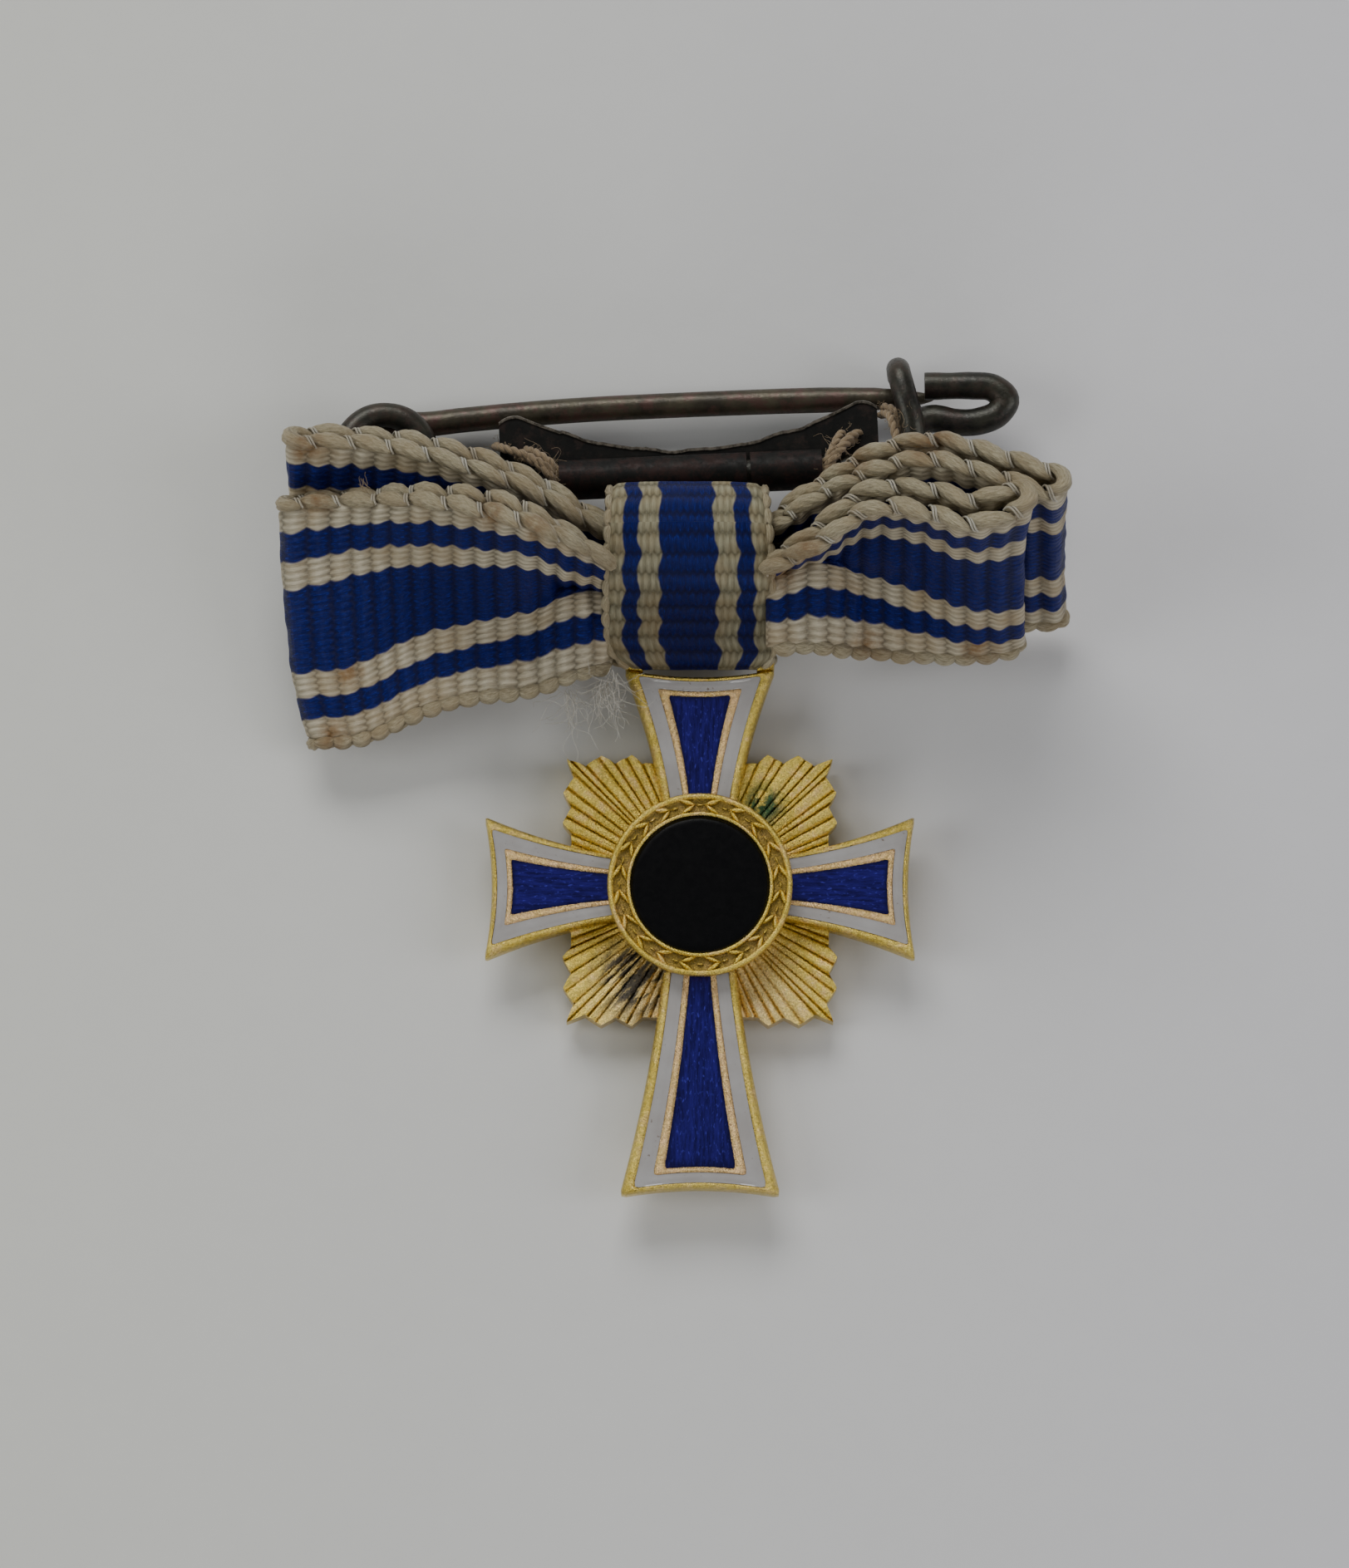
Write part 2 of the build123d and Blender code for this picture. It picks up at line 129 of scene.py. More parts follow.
class Piece:
    """Grids and loops of points gathered into one mesh, with a UV for its material to use."""

    def __init__(self):
        self.points, self.faces, self.uvs, self.slots, self.count = [], [], [], [], 0

    def grid(self, points, uv=None, slot=0, close_rows=False, close_columns=False, flip=False):
        """Faces between neighbouring points; gives back the points' numbers."""
        rows, columns = points.shape[:2]
        if uv is None:
            uv = np.zeros((rows, columns, 2))
        index = self.count + np.arange(rows * columns).reshape(rows, columns)
        if close_rows:
            index = np.vstack([index, index[:1]])
        if close_columns:
            index = np.hstack([index, index[:, :1]])
        corners = (index[:-1, :-1], index[:-1, 1:], index[1:, 1:], index[1:, :-1])
        quads = np.stack(corners, -1).reshape(-1, 4)
        if flip:
            quads = quads[:, ::-1]
        self.points.append(points.reshape(-1, 3))
        self.uvs.append(np.asarray(uv, float).reshape(-1, 2))
        self.faces += quads.tolist()
        self.slots += [slot] * len(quads)
        self.count += rows * columns
        return index

    def cap(self, ring, slot=0, flip=False):
        ring = [int(i) for i in ring]
        self.faces.append(ring[::-1] if flip else ring)
        self.slots.append(slot)

    def cap_sides(self, index, slot=0):
        """Close a tube-like grid at its first and last columns."""
        for column in (0, -1):
            self.cap(index[:-1, column], slot)

    def tube(self, line, radius, sides, slot=0, up=(0, 0, 1)):
        """Round wire along a line of points; radius is one number, or one per ring, or per point."""
        line = np.asarray(line, float)
        radius = np.asarray(radius, float)
        radius = radius if radius.ndim == 2 else np.broadcast_to(radius, len(line))[:, None]
        along = unit(np.gradient(line, axis=0))
        side = np.empty_like(line)
        side[0] = unit(np.cross(along[0], np.asarray(up, float) + 1e-3))
        for k in range(1, len(line)):
            carried = side[k - 1] - along[k] * np.dot(side[k - 1], along[k])
            side[k] = unit(carried)
        other = np.cross(along, side)
        angle = np.linspace(0, 2 * np.pi, sides, endpoint=False)[None, :, None]
        ring = np.cos(angle) * side[:, None] + np.sin(angle) * other[:, None]
        points = line[:, None] + ring * radius[..., None]
        way = np.broadcast_to(lengths(line)[:, None], points.shape[:2])
        around = np.broadcast_to(angle[..., 0] * radius.mean(), points.shape[:2])
        index = self.grid(points, np.stack([way, around], -1), slot, close_columns=True)
        self.cap(index[0, :-1], slot)
        self.cap(index[-1, :-1], slot, flip=True)

    def lathe(self, profile, sides, bright=-1.0):
        """Turn (radius, height) points about Z; the UV's first number is 0 below the bright height."""
        angle = np.linspace(0, 2 * np.pi, sides, endpoint=False)
        profile = np.asarray(profile, float)
        points = np.empty((len(profile), sides, 3))
        points[..., 0] = profile[:, :1] * np.cos(angle)
        points[..., 1] = profile[:, :1] * np.sin(angle)
        points[..., 2] = profile[:, 1:2]
        uv = np.zeros(points.shape[:2] + (2,))
        uv[..., 0] = points[..., 2] > bright
        self.grid(points, uv, close_columns=True)

    def make(self, name, body, materials, replaces=(), sharp=35.0):
        points = np.concatenate(self.points) * MM + CENTRE
        mesh = bpy.data.meshes.new(name)
        mesh.from_pydata(points.tolist(), [], self.faces)
        for material in materials:
            mesh.materials.append(material)
        mesh.polygons.foreach_set("material_index", self.slots)
        mesh.polygons.foreach_set("use_smooth", [True] * len(mesh.polygons))
        uvs = np.concatenate(self.uvs)
        corner = np.empty(len(mesh.loops), int)
        mesh.loops.foreach_get("vertex_index", corner)
        layer = mesh.uv_layers.new(name="weave")
        layer.data.foreach_set("uv", uvs[corner].astype(np.float32).ravel())
        work = bmesh.new()
        work.from_mesh(mesh)
        bmesh.ops.remove_doubles(work, verts=work.verts, dist=0.001 * MM)
        bmesh.ops.recalc_face_normals(work, faces=work.faces)
        work.to_mesh(mesh)
        work.free()
        mesh.set_sharp_from_angle(angle=math.radians(sharp))
        piece = add_object(name, mesh)
        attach(piece, body)
        if replaces:
            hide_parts(*replaces)
        return piece


# --- material tools ----------------------------------------------------------------------------
class Nodes:
    """Short calls for building one material's nodes."""

    def __init__(self, name, **fixed):
        self.material = bpy.data.materials.new(name)
        self.material.use_nodes = True
        self.tree = self.material.node_tree
        self.shader = self.tree.nodes["Principled BSDF"]
        for socket, value in fixed.items():
            self.shader.inputs[socket.replace("_", " ")].default_value = value

    def node(self, kind, inputs=(), **settings):
        node = self.tree.nodes.new(kind)
        for key, value in settings.items():
            setattr(node, key, value)
        for key, value in dict(inputs).items():
            self.feed(node.inputs[key], value)
        return node

    def feed(self, socket, value):
        if isinstance(value, bpy.types.NodeSocket):
            self.tree.links.new(value, socket)
        else:
            socket.default_value = value

    def math(self, operation, *values, clamp=False):
        node = self.node("ShaderNodeMath", enumerate(values), operation=operation, use_clamp=clamp)
        return node.outputs[0]

    def plus(self, a, b, clamp=False):
        return self.math("ADD", a, b, clamp=clamp)

    def times(self, a, b):
        return self.math("MULTIPLY", a, b)

    def vector(self, operation, *values, output=0):
        node = self.node("ShaderNodeVectorMath", enumerate(values), operation=operation)
        return node.outputs[output]

    def mapped(self, vector, scale=(1, 1, 1), turn=0.0):
        inputs = {"Vector": vector, "Scale": scale, "Rotation": (0, 0, turn)}
        return self.node("ShaderNodeMapping", inputs).outputs[0]

    def noise(self, vector, scale, detail=3.0, roughness=0.6):
        inputs = {"Vector": vector, "Scale": scale, "Detail": detail, "Roughness": roughness}
        return self.node("ShaderNodeTexNoise", inputs).outputs["Fac"]

    def place(self, scale=(1, 1, 1), turn=0.0):
        """The object's own millimetres about the cross's centre, turned about Z and then scaled."""
        here = self.node("ShaderNodeTexCoord").outputs["Object"]
        turned = self.mapped(self.vector("ADD", here, tuple(-CENTRE)), turn=turn)
        return self.vector("MULTIPLY", turned, tuple(s / MM for s in scale))

    def weave(self):
        """The piece's UV: on cloth and thread, millimetres along and across."""
        return self.node("ShaderNodeUVMap", uv_map="weave").outputs[0]

    def split(self, vector):
        return self.node("ShaderNodeSeparateXYZ", {0: vector}).outputs

    def ramp(self, factor, stops):
        """A straight-lined curve through (factor, value) stops."""
        node = self.node("ShaderNodeValToRGB", {0: factor})
        ramp = node.color_ramp
        while len(ramp.elements) > 1:
            ramp.elements.remove(ramp.elements[-1])
        for k, (position, value) in enumerate(stops):
            element = ramp.elements[0] if k == 0 else ramp.elements.new(position)
            element.position = position
            element.color = (value, value, value, 1)
        return node.outputs[0]

    def climb(self, factor, low, high, top=1.0):
        """0 up to the low factor, rising to the top value at the high one."""
        return self.ramp(factor, [(low, 0.0), (high, top)])

    def mix(self, factor, a, b, blend="MIX"):
        node = self.node("ShaderNodeMix", data_type="RGBA", blend_type=blend)
        for socket, value in ((node.inputs[0], factor), (node.inputs[6], a), (node.inputs[7], b)):
            value = (*value, 1) if isinstance(value, tuple) and len(value) == 3 else value
            self.feed(socket, value)
        return node.outputs[2]

    def near(self, place, radius, softness):
        """1 within a radius of a place, falling to 0 outside it; height counts for less than width."""
        away = self.vector("SUBTRACT", self.place(), place)
        apart = self.vector("LENGTH", self.vector("MULTIPLY", away, (1, 1, 0.3)), output="Value")
        return self.plus(self.math("DIVIDE", self.math("SUBTRACT", radius, apart), softness), 0.5, clamp=True)

    def bump(self, height, strength, distance_mm):
        inputs = {"Height": height, "Strength": strength, "Distance": distance_mm * MM}
        return self.node("ShaderNodeBump", inputs).outputs[0]

    def finish(self, **links):
        for socket, value in links.items():
            self.feed(self.shader.inputs[socket.replace("_", " ")], value)
        return self.material


# --- materials ---------------------------------------------------------------------------------
STRIPES = (1.3, 2.25, 3.3, 6.6, 7.6, 8.75)  # colour changes across the bow ribbon, from an edge
BOW_WIDTH = 9.9
KNOT_STRIPES = (0.78, 1.36, 2.13, 4.25, 5.05, 5.65)
KNOT_WIDTH = 6.4
RIB = 0.87  # length of one rib of the bow's grosgrain
KNOT_RIB = 0.78
YARN = 0.26  # one warp yarn
TOOTH = 0.29  # one tooth of the jagged line between two ribs
BOW_CREAM = ((0.31, 0.265, 0.18), (0.70, 0.635, 0.48))  # shaded and lit yarn
KNOT_CREAM = ((0.19, 0.17, 0.10), (0.42, 0.395, 0.27))
EDGE_CREAM = ((0.25, 0.195, 0.10), (0.74, 0.67, 0.46))
AGED_YARN = (0.37, 0.26, 0.125)
BLUE_YARN = (0.0008, 0.0035, 0.062)
# the pale blue that the painted glints and sheen reach; the fibres' own tone leans a little towards it too
BLUE_YARN_PAINTED_SHEEN = (0.005, 0.033, 0.47)
STAIN = (0.26, 0.13, 0.035)
STAINS = [  # as seen: across, up, lift and radius
    (-13.8, 8.4, -1.1, 0.7),
    (-15.5, 17.3, 0.4, 0.8),
    (-15.0, 15.4, 0.0, 0.9),
    (-14.4, 5.8, -1.2, 0.8),
    (-8.2, 14.8, 4.0, 0.8),
    (-6.5, 14.2, 4.6, 0.6),
    (9.1, 17.7, 4.8, 1.2),
    (6.0, 16.9, 3.6, 0.9),
    (3.3, 12.3, 0.9, 0.8),
    (11.0, 9.4, -1.3, 1.0),
    (6.6, 9.4, -0.6, 0.8),
    (4.3, 13.3, 3.5, 0.8),
]


def stripe_mask(n, across, stripes, width):
    """1 on the off-white stripes and 0 on the blue ones."""
    soft = 0.03
    stops, white = [(0.0, 1.0)], 1.0
    for edge in stripes:
        stops.append(((edge - soft) / width, white))
        white = 1.0 - white
        stops.append(((edge + soft) / width, white))
    return n.ramp(n.math("DIVIDE", across, width), stops)


def stains(n, colour, share):
    """Brown stains at the places where the ribbon has them."""
    mottle = n.ramp(n.noise(n.place(), 2.2, 3.0), [(0.35, 0.25), (0.65, 1.0)])
    for across, up, lift, radius in STAINS:
        here = n.near(tuple(from_view(across, up, lift)), 0.7 * radius, 0.8 * radius)
        colour = n.mix(n.times(n.times(here, mottle), share), colour, STAIN)
    return colour


def wave(n, along, rib):
    """1 on the crest of each rib and 0 between ribs."""
    turn = n.times(along, 2 * math.pi / rib)
    return n.plus(n.times(n.math("COSINE", turn), 0.5), 0.5)


def stripe_place(n, uv, along, across, rib, sway):
    """Place across the ribbon, shifted so that the stripes' edges follow the ribs in small lobes."""
    half_turn = n.times(along, math.pi / rib)
    single = n.times(n.math("ABSOLUTE", n.math("COSINE", half_turn)), sway[0])
    double = n.times(n.math("SINE", half_turn), sway[1])
    drift = n.times(n.math("SUBTRACT", n.noise(uv, 0.9, 2.0), 0.5), 0.25)
    return n.plus(n.plus(across, n.plus(single, double)), drift)


def ribbon_material(name, stripes, width, rib, sway, cream, painted_glint_strength, painted_shade):
    """Grosgrain: fine silky warp over thick ribs that meet in jagged lines, with woven stripes; painted paler
    crests and glints, painted shade in valleys and patches.
    """
    n = Nodes(name, Specular_IOR_Level=0.2, Sheen_Weight=0.02, Sheen_Roughness=0.4)
    uv = n.weave()
    along, across, _ = n.split(uv)
    white = stripe_mask(n, stripe_place(n, uv, along, across, rib, sway), stripes, width)
    crest = wave(n, along, rib)
    tooth = n.times(n.math("PINGPONG", across, TOOTH / 2), 1.1)
    jagged = wave(n, n.plus(along, n.math("SUBTRACT", tooth, 0.08)), rib)
    number = n.math("FLOOR", n.plus(n.math("DIVIDE", along, rib), 0.5))
    shifted = n.times(number, 2.3)  # the yarns of neighbouring ribs don't line up
    yarn_turn = n.plus(n.times(across, 2 * math.pi / YARN), shifted)
    yarn = n.plus(n.times(n.math("SINE", yarn_turn), 0.5), 0.5)
    stretched = n.mapped(uv, (1.1, 9.0, 1.0))
    fibre = n.noise(stretched, 1.6, 5.0, 0.75)
    glint = n.climb(n.noise(stretched, 2.6, 4.0, 0.8), 0.50, 0.66)
    thread = n.plus(n.times(yarn, 0.25), n.times(fibre, 0.85))
    # painted light: the thread is paler on each rib's crest and darker between ribs
    crest_lit_thread = n.times(thread, n.plus(n.times(crest, 0.3), 0.7))
    pale = n.climb(crest_lit_thread, 0.28, 0.72)
    # painted glints: bright flecks on the ribs' flanks, added into the colour
    flank = n.ramp(jagged, [(0.15, 0.0), (0.35, 1.0), (0.8, 0.5)])
    shine = n.times(n.times(glint, flank), fibre)
    bright = n.plus(n.times(pale, 0.11), n.times(shine, painted_glint_strength), clamp=True)
    # blue turned paler by the painted glints and sheen, and a little by the fibres' own tone
    blue = n.mix(bright, BLUE_YARN, BLUE_YARN_PAINTED_SHEEN)
    # off-white yarn lightened by the painted glints as well as its own fibre tone
    light = n.mix(n.plus(pale, n.times(shine, 0.6), clamp=True), *cream)
    light = n.mix(n.climb(n.noise(n.place(), 0.55, 3.0), 0.42, 0.75, 0.6), light, AGED_YARN)
    colour = n.mix(white, blue, stains(n, light, 0.85))
    # painted shade along the jagged valleys between the ribs
    groove = n.ramp(jagged, [(0.0, 0.68), (0.06, 0.86), (0.22, 0.98), (1.0, 1.0)])
    colour = n.mix(1.0, colour, groove, "MULTIPLY")
    # painted shade: each place, radius and share darkens the colour there, standing in for shade
    for place, radius, share in painted_shade:
        shade = n.times(n.near(place, radius, 2.0), share)
        colour = n.mix(shade, colour, (0.35, 0.32, 0.30), "MULTIPLY")
    threads = n.plus(n.times(yarn, 0.3), fibre)
    height = n.plus(threads, n.times(jagged, 0.5))
    rough = n.ramp(fibre, [(0.3, 0.28), (0.7, 0.52)])
    return n.finish(Base_Color=colour, Normal=n.bump(height, 0.8, 0.10), Roughness=rough)


def cord_material(name, cream, stained):
    """Edge yarn: fine fibres that run along each bead."""
    n = Nodes(name, Roughness=0.30, Specular_IOR_Level=0.7, Sheen_Weight=0.05, Sheen_Roughness=0.4)
    fibre = n.noise(n.mapped(n.weave(), (1.6, 11.0, 1.0), 0.5), 1.9, 5.0, 0.8)
    colour = n.mix(n.climb(fibre, 0.34, 0.66), *cream)
    colour = n.mix(n.climb(n.noise(n.place(), 0.6), 0.38, 0.68, 0.6), colour, AGED_YARN)
    colour = stains(n, colour, stained)
    return n.finish(Base_Color=colour, Normal=n.bump(fibre, 1.0, 0.12))


def gilt(name, grain, marks=False, shade=0.0, rose=0.0):
    """Fire-gilt metal with a fine sand-blasted grain: shade paints shade into its hollows, rose wears it
    pinker, marks adds stains and painted light low down.
    """
    n = Nodes(name, Metallic=1.0)
    depth = n.split(n.weave())[0]
    place = n.place()
    fine = n.noise(place, 10.0, 4.0, 0.8)
    broad = n.noise(place, 0.8, 3.0)
    colour = n.mix(n.climb(broad, 0.35, 0.65), (0.68, 0.51, 0.095), (0.80, 0.62, 0.15))
    wear = [(0.50 - 0.2 * rose, 0.5 * rose), (0.68 - 0.1 * rose, 0.6 + 0.3 * rose)]
    colour = n.mix(n.ramp(n.noise(place, 1.6, 5.0, 0.7), wear), colour, (0.82, 0.55, 0.30))
    colour = n.mix(n.ramp(fine, [(0.36, 0.7 * grain), (0.50, 0.0)]), colour, (0.24, 0.14, 0.03))
    colour = n.mix(n.climb(fine, 0.56, 0.66, 0.7 * grain), colour, (1.0, 0.87, 0.50))
    # painted shade: darker in the hollows, where the UV's first number is low
    colour = n.mix(n.ramp(depth, [(0.05, shade), (0.6, 0.0)]), colour, (0.17, 0.105, 0.03))
    if marks:
        # painted light: paler, pinker gold on the lower rays, standing in for the brighter light that falls
        # there; it is not wear
        rubbed = n.times(n.near((0.0, -4.6, 1.3), 3.2, 3.0), 0.75)
        colour = n.mix(rubbed, colour, (0.95, 0.74, 0.42))
        streak = n.noise(n.place((0.7, 3.6, 1.0), turn=-math.pi / 4), 1.0, 4.0, 0.7)
        black = n.times(n.near((-2.6, -3.5, 1.3), 1.5, 1.1), n.climb(streak, 0.42, 0.54, 0.95))
        colour = n.mix(black, colour, (0.050, 0.048, 0.050))
        patch = n.noise(place, 1.7, 4.0, 0.7)
        green = n.times(n.near((2.5, 3.4, 1.4), 0.8, 0.8), n.climb(patch, 0.38, 0.54, 0.95))
        colour = n.mix(green, colour, (0.02, 0.085, 0.045))
    normal = n.bump(fine, 0.4 + 0.5 * grain, 0.07)
    rough = n.ramp(n.noise(place, 6.0, 4.0), [(0.35, 0.17), (0.70, 0.34)])
    return n.finish(Base_Color=colour, Normal=normal, Roughness=rough)


def blue_enamel(turn):
    """Translucent enamel over metal engraved with streaks along the arm."""
    n = Nodes("blue_enamel", Roughness=0.14, Coat_Weight=0.25, Coat_Roughness=0.04, Specular_IOR_Level=0.3)
    inward = n.split(n.weave())[0]
    streaks = n.noise(n.place((7.0, 0.9, 1.0), turn=turn), 1.1, 5.0, 0.75)
    flecks = n.noise(n.place((4.0, 1.6, 1.0), turn=turn), 2.4, 3.0, 0.6)
    colour = n.mix(n.climb(streaks, 0.35, 0.70), (0.005, 0.003, 0.050), (0.019, 0.012, 0.195))
    colour = n.mix(n.climb(flecks, 0.58, 0.72, 0.8), colour, (0.05, 0.045, 0.42))
    # painted shade: the enamel darkens next to the cell's walls
    colour = n.mix(n.ramp(inward, [(0.0, 0.75), (0.35, 0.0)]), colour, (0.003, 0.002, 0.025))
    normal = n.bump(n.noise(n.place(), 1.6, 2.0), 0.12, 0.05)
    return n.finish(Base_Color=colour, Coat_Normal=normal)


def white_enamel():
    n = Nodes("white_enamel", Roughness=0.14, Coat_Weight=0.4, Coat_Roughness=0.05)
    place = n.place()
    colour = n.mix(n.climb(n.noise(place, 0.7), 0.35, 0.7), (0.37, 0.352, 0.34), (0.425, 0.416, 0.41))
    specks = n.climb(n.noise(place, 5.0, 3.0, 0.6), 0.68, 0.74, 0.75)
    colour = n.mix(specks, colour, (0.14, 0.09, 0.06))
    normal = n.bump(n.noise(place, 2.4, 2.0), 0.15, 0.04)
    return n.finish(Base_Color=colour, Normal=normal)


def black_enamel():
    n = Nodes("black_enamel", Coat_Weight=0.15, Coat_Roughness=0.06, Specular_IOR_Level=0.2)
    place = n.place()
    colour = n.mix(n.noise(place, 2.0), (0.0015, 0.0015, 0.002), (0.003, 0.003, 0.0035))
    rough = n.ramp(n.noise(place, 3.0, 4.0), [(0.3, 0.22), (0.7, 0.34)])
    return n.finish(Base_Color=colour, Roughness=rough, Normal=n.bump(n.noise(place, 1.2), 0.08, 0.05))


def patinated_wire(name, dark, pale, rubbed_share):
    """Old plated wire: dark patina, with reddish rubbed patches."""
    n = Nodes(name, Metallic=0.45, Specular_IOR_Level=0.6)
    place = n.place()
    broad = n.noise(place, 0.9, 4.0, 0.65)
    colour = n.mix(n.climb(broad, 0.38, 0.62), dark, pale)
    rubbed = n.climb(n.noise(place, 1.4, 5.0, 0.7), 0.48, 0.60, rubbed_share)
    colour = n.mix(rubbed, colour, (0.095, 0.050, 0.040))
    scale = n.noise(place, 8.0, 4.0, 0.7)
    rough = n.ramp(scale, [(0.35, 0.28), (0.70, 0.52)])
    return n.finish(Base_Color=colour, Roughness=rough, Normal=n.bump(scale, 0.35, 0.04))


def black_plate(name, rubbed, brown):
    """Blackened sheet metal, reddish-brown where it is rubbed."""
    n = Nodes(name, Metallic=0.2, Specular_IOR_Level=0.25)
    place = n.place()
    scale = n.noise(place, 5.0, 5.0, 0.7)
    broad = n.climb(n.noise(place, 1.1, 4.0), 0.4, 0.7)
    colour = n.mix(broad, (0.004, 0.004, 0.0035), (0.011, 0.010, 0.008))
    rub = [(0.56 - 0.12 * rubbed, 0.0), (0.68 - 0.10 * rubbed, rubbed)]
    colour = n.mix(n.ramp(n.noise(place, 1.3, 5.0, 0.75), rub), colour, brown)
    rough = n.ramp(scale, [(0.3, 0.42), (0.7, 0.70)])
    return n.finish(Base_Color=colour, Roughness=rough, Normal=n.bump(scale, 0.3, 0.04))


def worn_edge():
    """Bare metal along the plate's cut edge."""
    n = Nodes("plate_edge", Metallic=0.7)
    place = n.place()
    worn = n.noise(place, 3.5, 4.0, 0.7)
    colour = n.mix(n.climb(worn, 0.4, 0.6), (0.06, 0.052, 0.04), (0.24, 0.21, 0.17))
    rough = n.ramp(worn, [(0.3, 0.55), (0.7, 0.35)])
    return n.finish(Base_Color=colour, Roughness=rough, Normal=n.bump(worn, 0.4, 0.04))


def thread_material():
    n = Nodes("brown_thread", Roughness=0.7, Sheen_Weight=0.3)
    fibre = n.noise(n.mapped(n.weave(), (2.0, 18.0, 1.0), 0.5), 1.5, 4.0, 0.7)
    colour = n.mix(n.climb(fibre, 0.3, 0.7), (0.16, 0.105, 0.05), (0.42, 0.31, 0.18))
    return n.finish(Base_Color=colour, Normal=n.bump(fibre, 0.8, 0.05))


def hair_material():
    n = Nodes("loose_fibre", Roughness=0.35, Sheen_Weight=0.2)
    colour = n.mix(n.noise(n.place(), 1.0), (0.42, 0.39, 0.33), (0.62, 0.60, 0.54))
    return n.finish(Base_Color=colour)


def paper():
    """Matt paper, with a painted tint of the lamps' light: a little greener on one side and more violet on
    the other.
    """
    n = Nodes("paper", Roughness=0.85, Specular_IOR_Level=0.2)
    place = n.place()
    # painted light: the floor's tint shifts across it, standing in for the differently tinted light on each
    # side
    share = n.plus(n.math("DIVIDE", n.split(place)[0], 60.0), 0.5, clamp=True)
    tint = n.mix(share, (0.735, 0.740, 0.690), (0.725, 0.725, 0.755))
    tint = n.mix(n.climb(n.noise(place, 0.05, 3.0), 0.35, 0.7, 0.10), tint, (0.60, 0.60, 0.58))
    fine = n.noise(place, 0.7, 4.0, 0.6)
    tint = n.mix(n.ramp(fine, [(0.3, 0.04), (0.7, 0.0)]), tint, (0.45, 0.44, 0.42))
    return n.finish(Base_Color=tint, Normal=n.bump(fine, 0.12, 0.15))


# painted shade: darker patches low on the knot, where it faces down, away from the light
KNOT_PAINTED_SHADE = [((-1.6, 9.6, 4.5), 2.2, 0.45), ((1.4, 9.6, 4.5), 1.8, 0.35)]
BOW_RIBBON = ribbon_material("bow_ribbon", STRIPES, BOW_WIDTH, RIB, (0.10, 0.02), BOW_CREAM, 1.7, [])
KNOT_RIBBON = ribbon_material(
    "knot_ribbon", KNOT_STRIPES, KNOT_WIDTH, KNOT_RIB, (0.04, 0.07), KNOT_CREAM, 1.2, KNOT_PAINTED_SHADE
)
SELVAGE = cord_material("selvage_yarn", EDGE_CREAM, 0.85)
FLOSS = cord_material("selvage_floss", ((0.60, 0.56, 0.44), (0.85, 0.82, 0.70)), 0.3)
GILT = gilt("gilt", 0.7)
GILT_WALLS = gilt("gilt_walls", 0.7, rose=1.0)
GILT_RAYS = gilt("gilt_rays", 0.35, marks=True, shade=0.4)
GILT_RELIEF = gilt("gilt_relief", 0.35, shade=0.8)
WIRE = patinated_wire("patinated_wire", (0.019, 0.019, 0.015), (0.044, 0.043, 0.030), 0.3)
NEEDLE = patinated_wire("patinated_needle", (0.040, 0.033, 0.022), (0.085, 0.073, 0.045), 0.9)
PLATE = black_plate("black_plate", 0.4, (0.050, 0.028, 0.022))
ROLLED = black_plate("rolled_plate", 0.9, (0.026, 0.0115, 0.009))
EDGE = worn_edge()
THREAD = thread_material()
HAIR = hair_material()


# --- camera, light and floor -------------------------------------------------------------------
TABLE_HALF = 0.6
SENSOR = 24


def add_camera():
    data = bpy.data.cameras.new("camera")
    camera = add_object("camera", data)
    target = CENTRE + from_view(VIEW_MIDDLE[0], VIEW_MIDDLE[1], 0.0) * MM
    away = np.array([0, -math.sin(VIEW_TILT), math.cos(VIEW_TILT)])
    camera.location = target + away * VIEW_DISTANCE * MM
    camera.rotation_euler = (VIEW_TILT, 0, 0)
    data.sensor_fit = "VERTICAL"
    data.sensor_height = SENSOR
    data.lens = SENSOR * VIEW_DISTANCE / VIEW_HEIGHT
    data.clip_start = 0.01
    bpy.context.scene.camera = camera


def add_light(name, place, size, power, colour):
    data = bpy.data.lights.new(name, "AREA")
    data.shape = "RECTANGLE"
    data.size, data.size_y = size
    data.energy = power
    data.color = colour
    light = add_object(name, data)
    light.location = place
    light.rotation_euler = (Vector((0, 0, 0)) - Vector(place)).to_track_quat("-Z", "Y").to_euler()


def add_stage():
    add_light("window", (-0.12, 0.55, 0.45), (0.50, 0.30), 3.1, (1.0, 0.995, 0.98))
    add_light("left", (-0.58, -0.05, 0.38), (0.30, 0.45), 1.3, (0.98, 1.0, 0.98))
    add_light("right", (0.58, -0.08, 0.38), (0.30, 0.45), 1.2, (0.98, 0.97, 1.0))
    add_light("front", (0.10, -0.60, 0.32), (0.45, 0.20), 1.1, (1.0, 0.98, 0.98))
    world = bpy.data.worlds.new("studio")
    world.use_nodes = True
    world.node_tree.nodes["Background"].inputs[0].default_value = (0.98, 0.99, 1.0, 1)
    world.node_tree.nodes["Background"].inputs[1].default_value = 0.14
    bpy.context.scene.world = world
    mesh = bpy.data.meshes.new("table")
    corners = [(x * TABLE_HALF, y * TABLE_HALF, 0) for x, y in ((-1, -1), (1, -1), (1, 1), (-1, 1))]
    mesh.from_pydata(corners, [], [(0, 1, 2, 3)])
    mesh.materials.append(paper())
    floor = add_object("table", mesh)


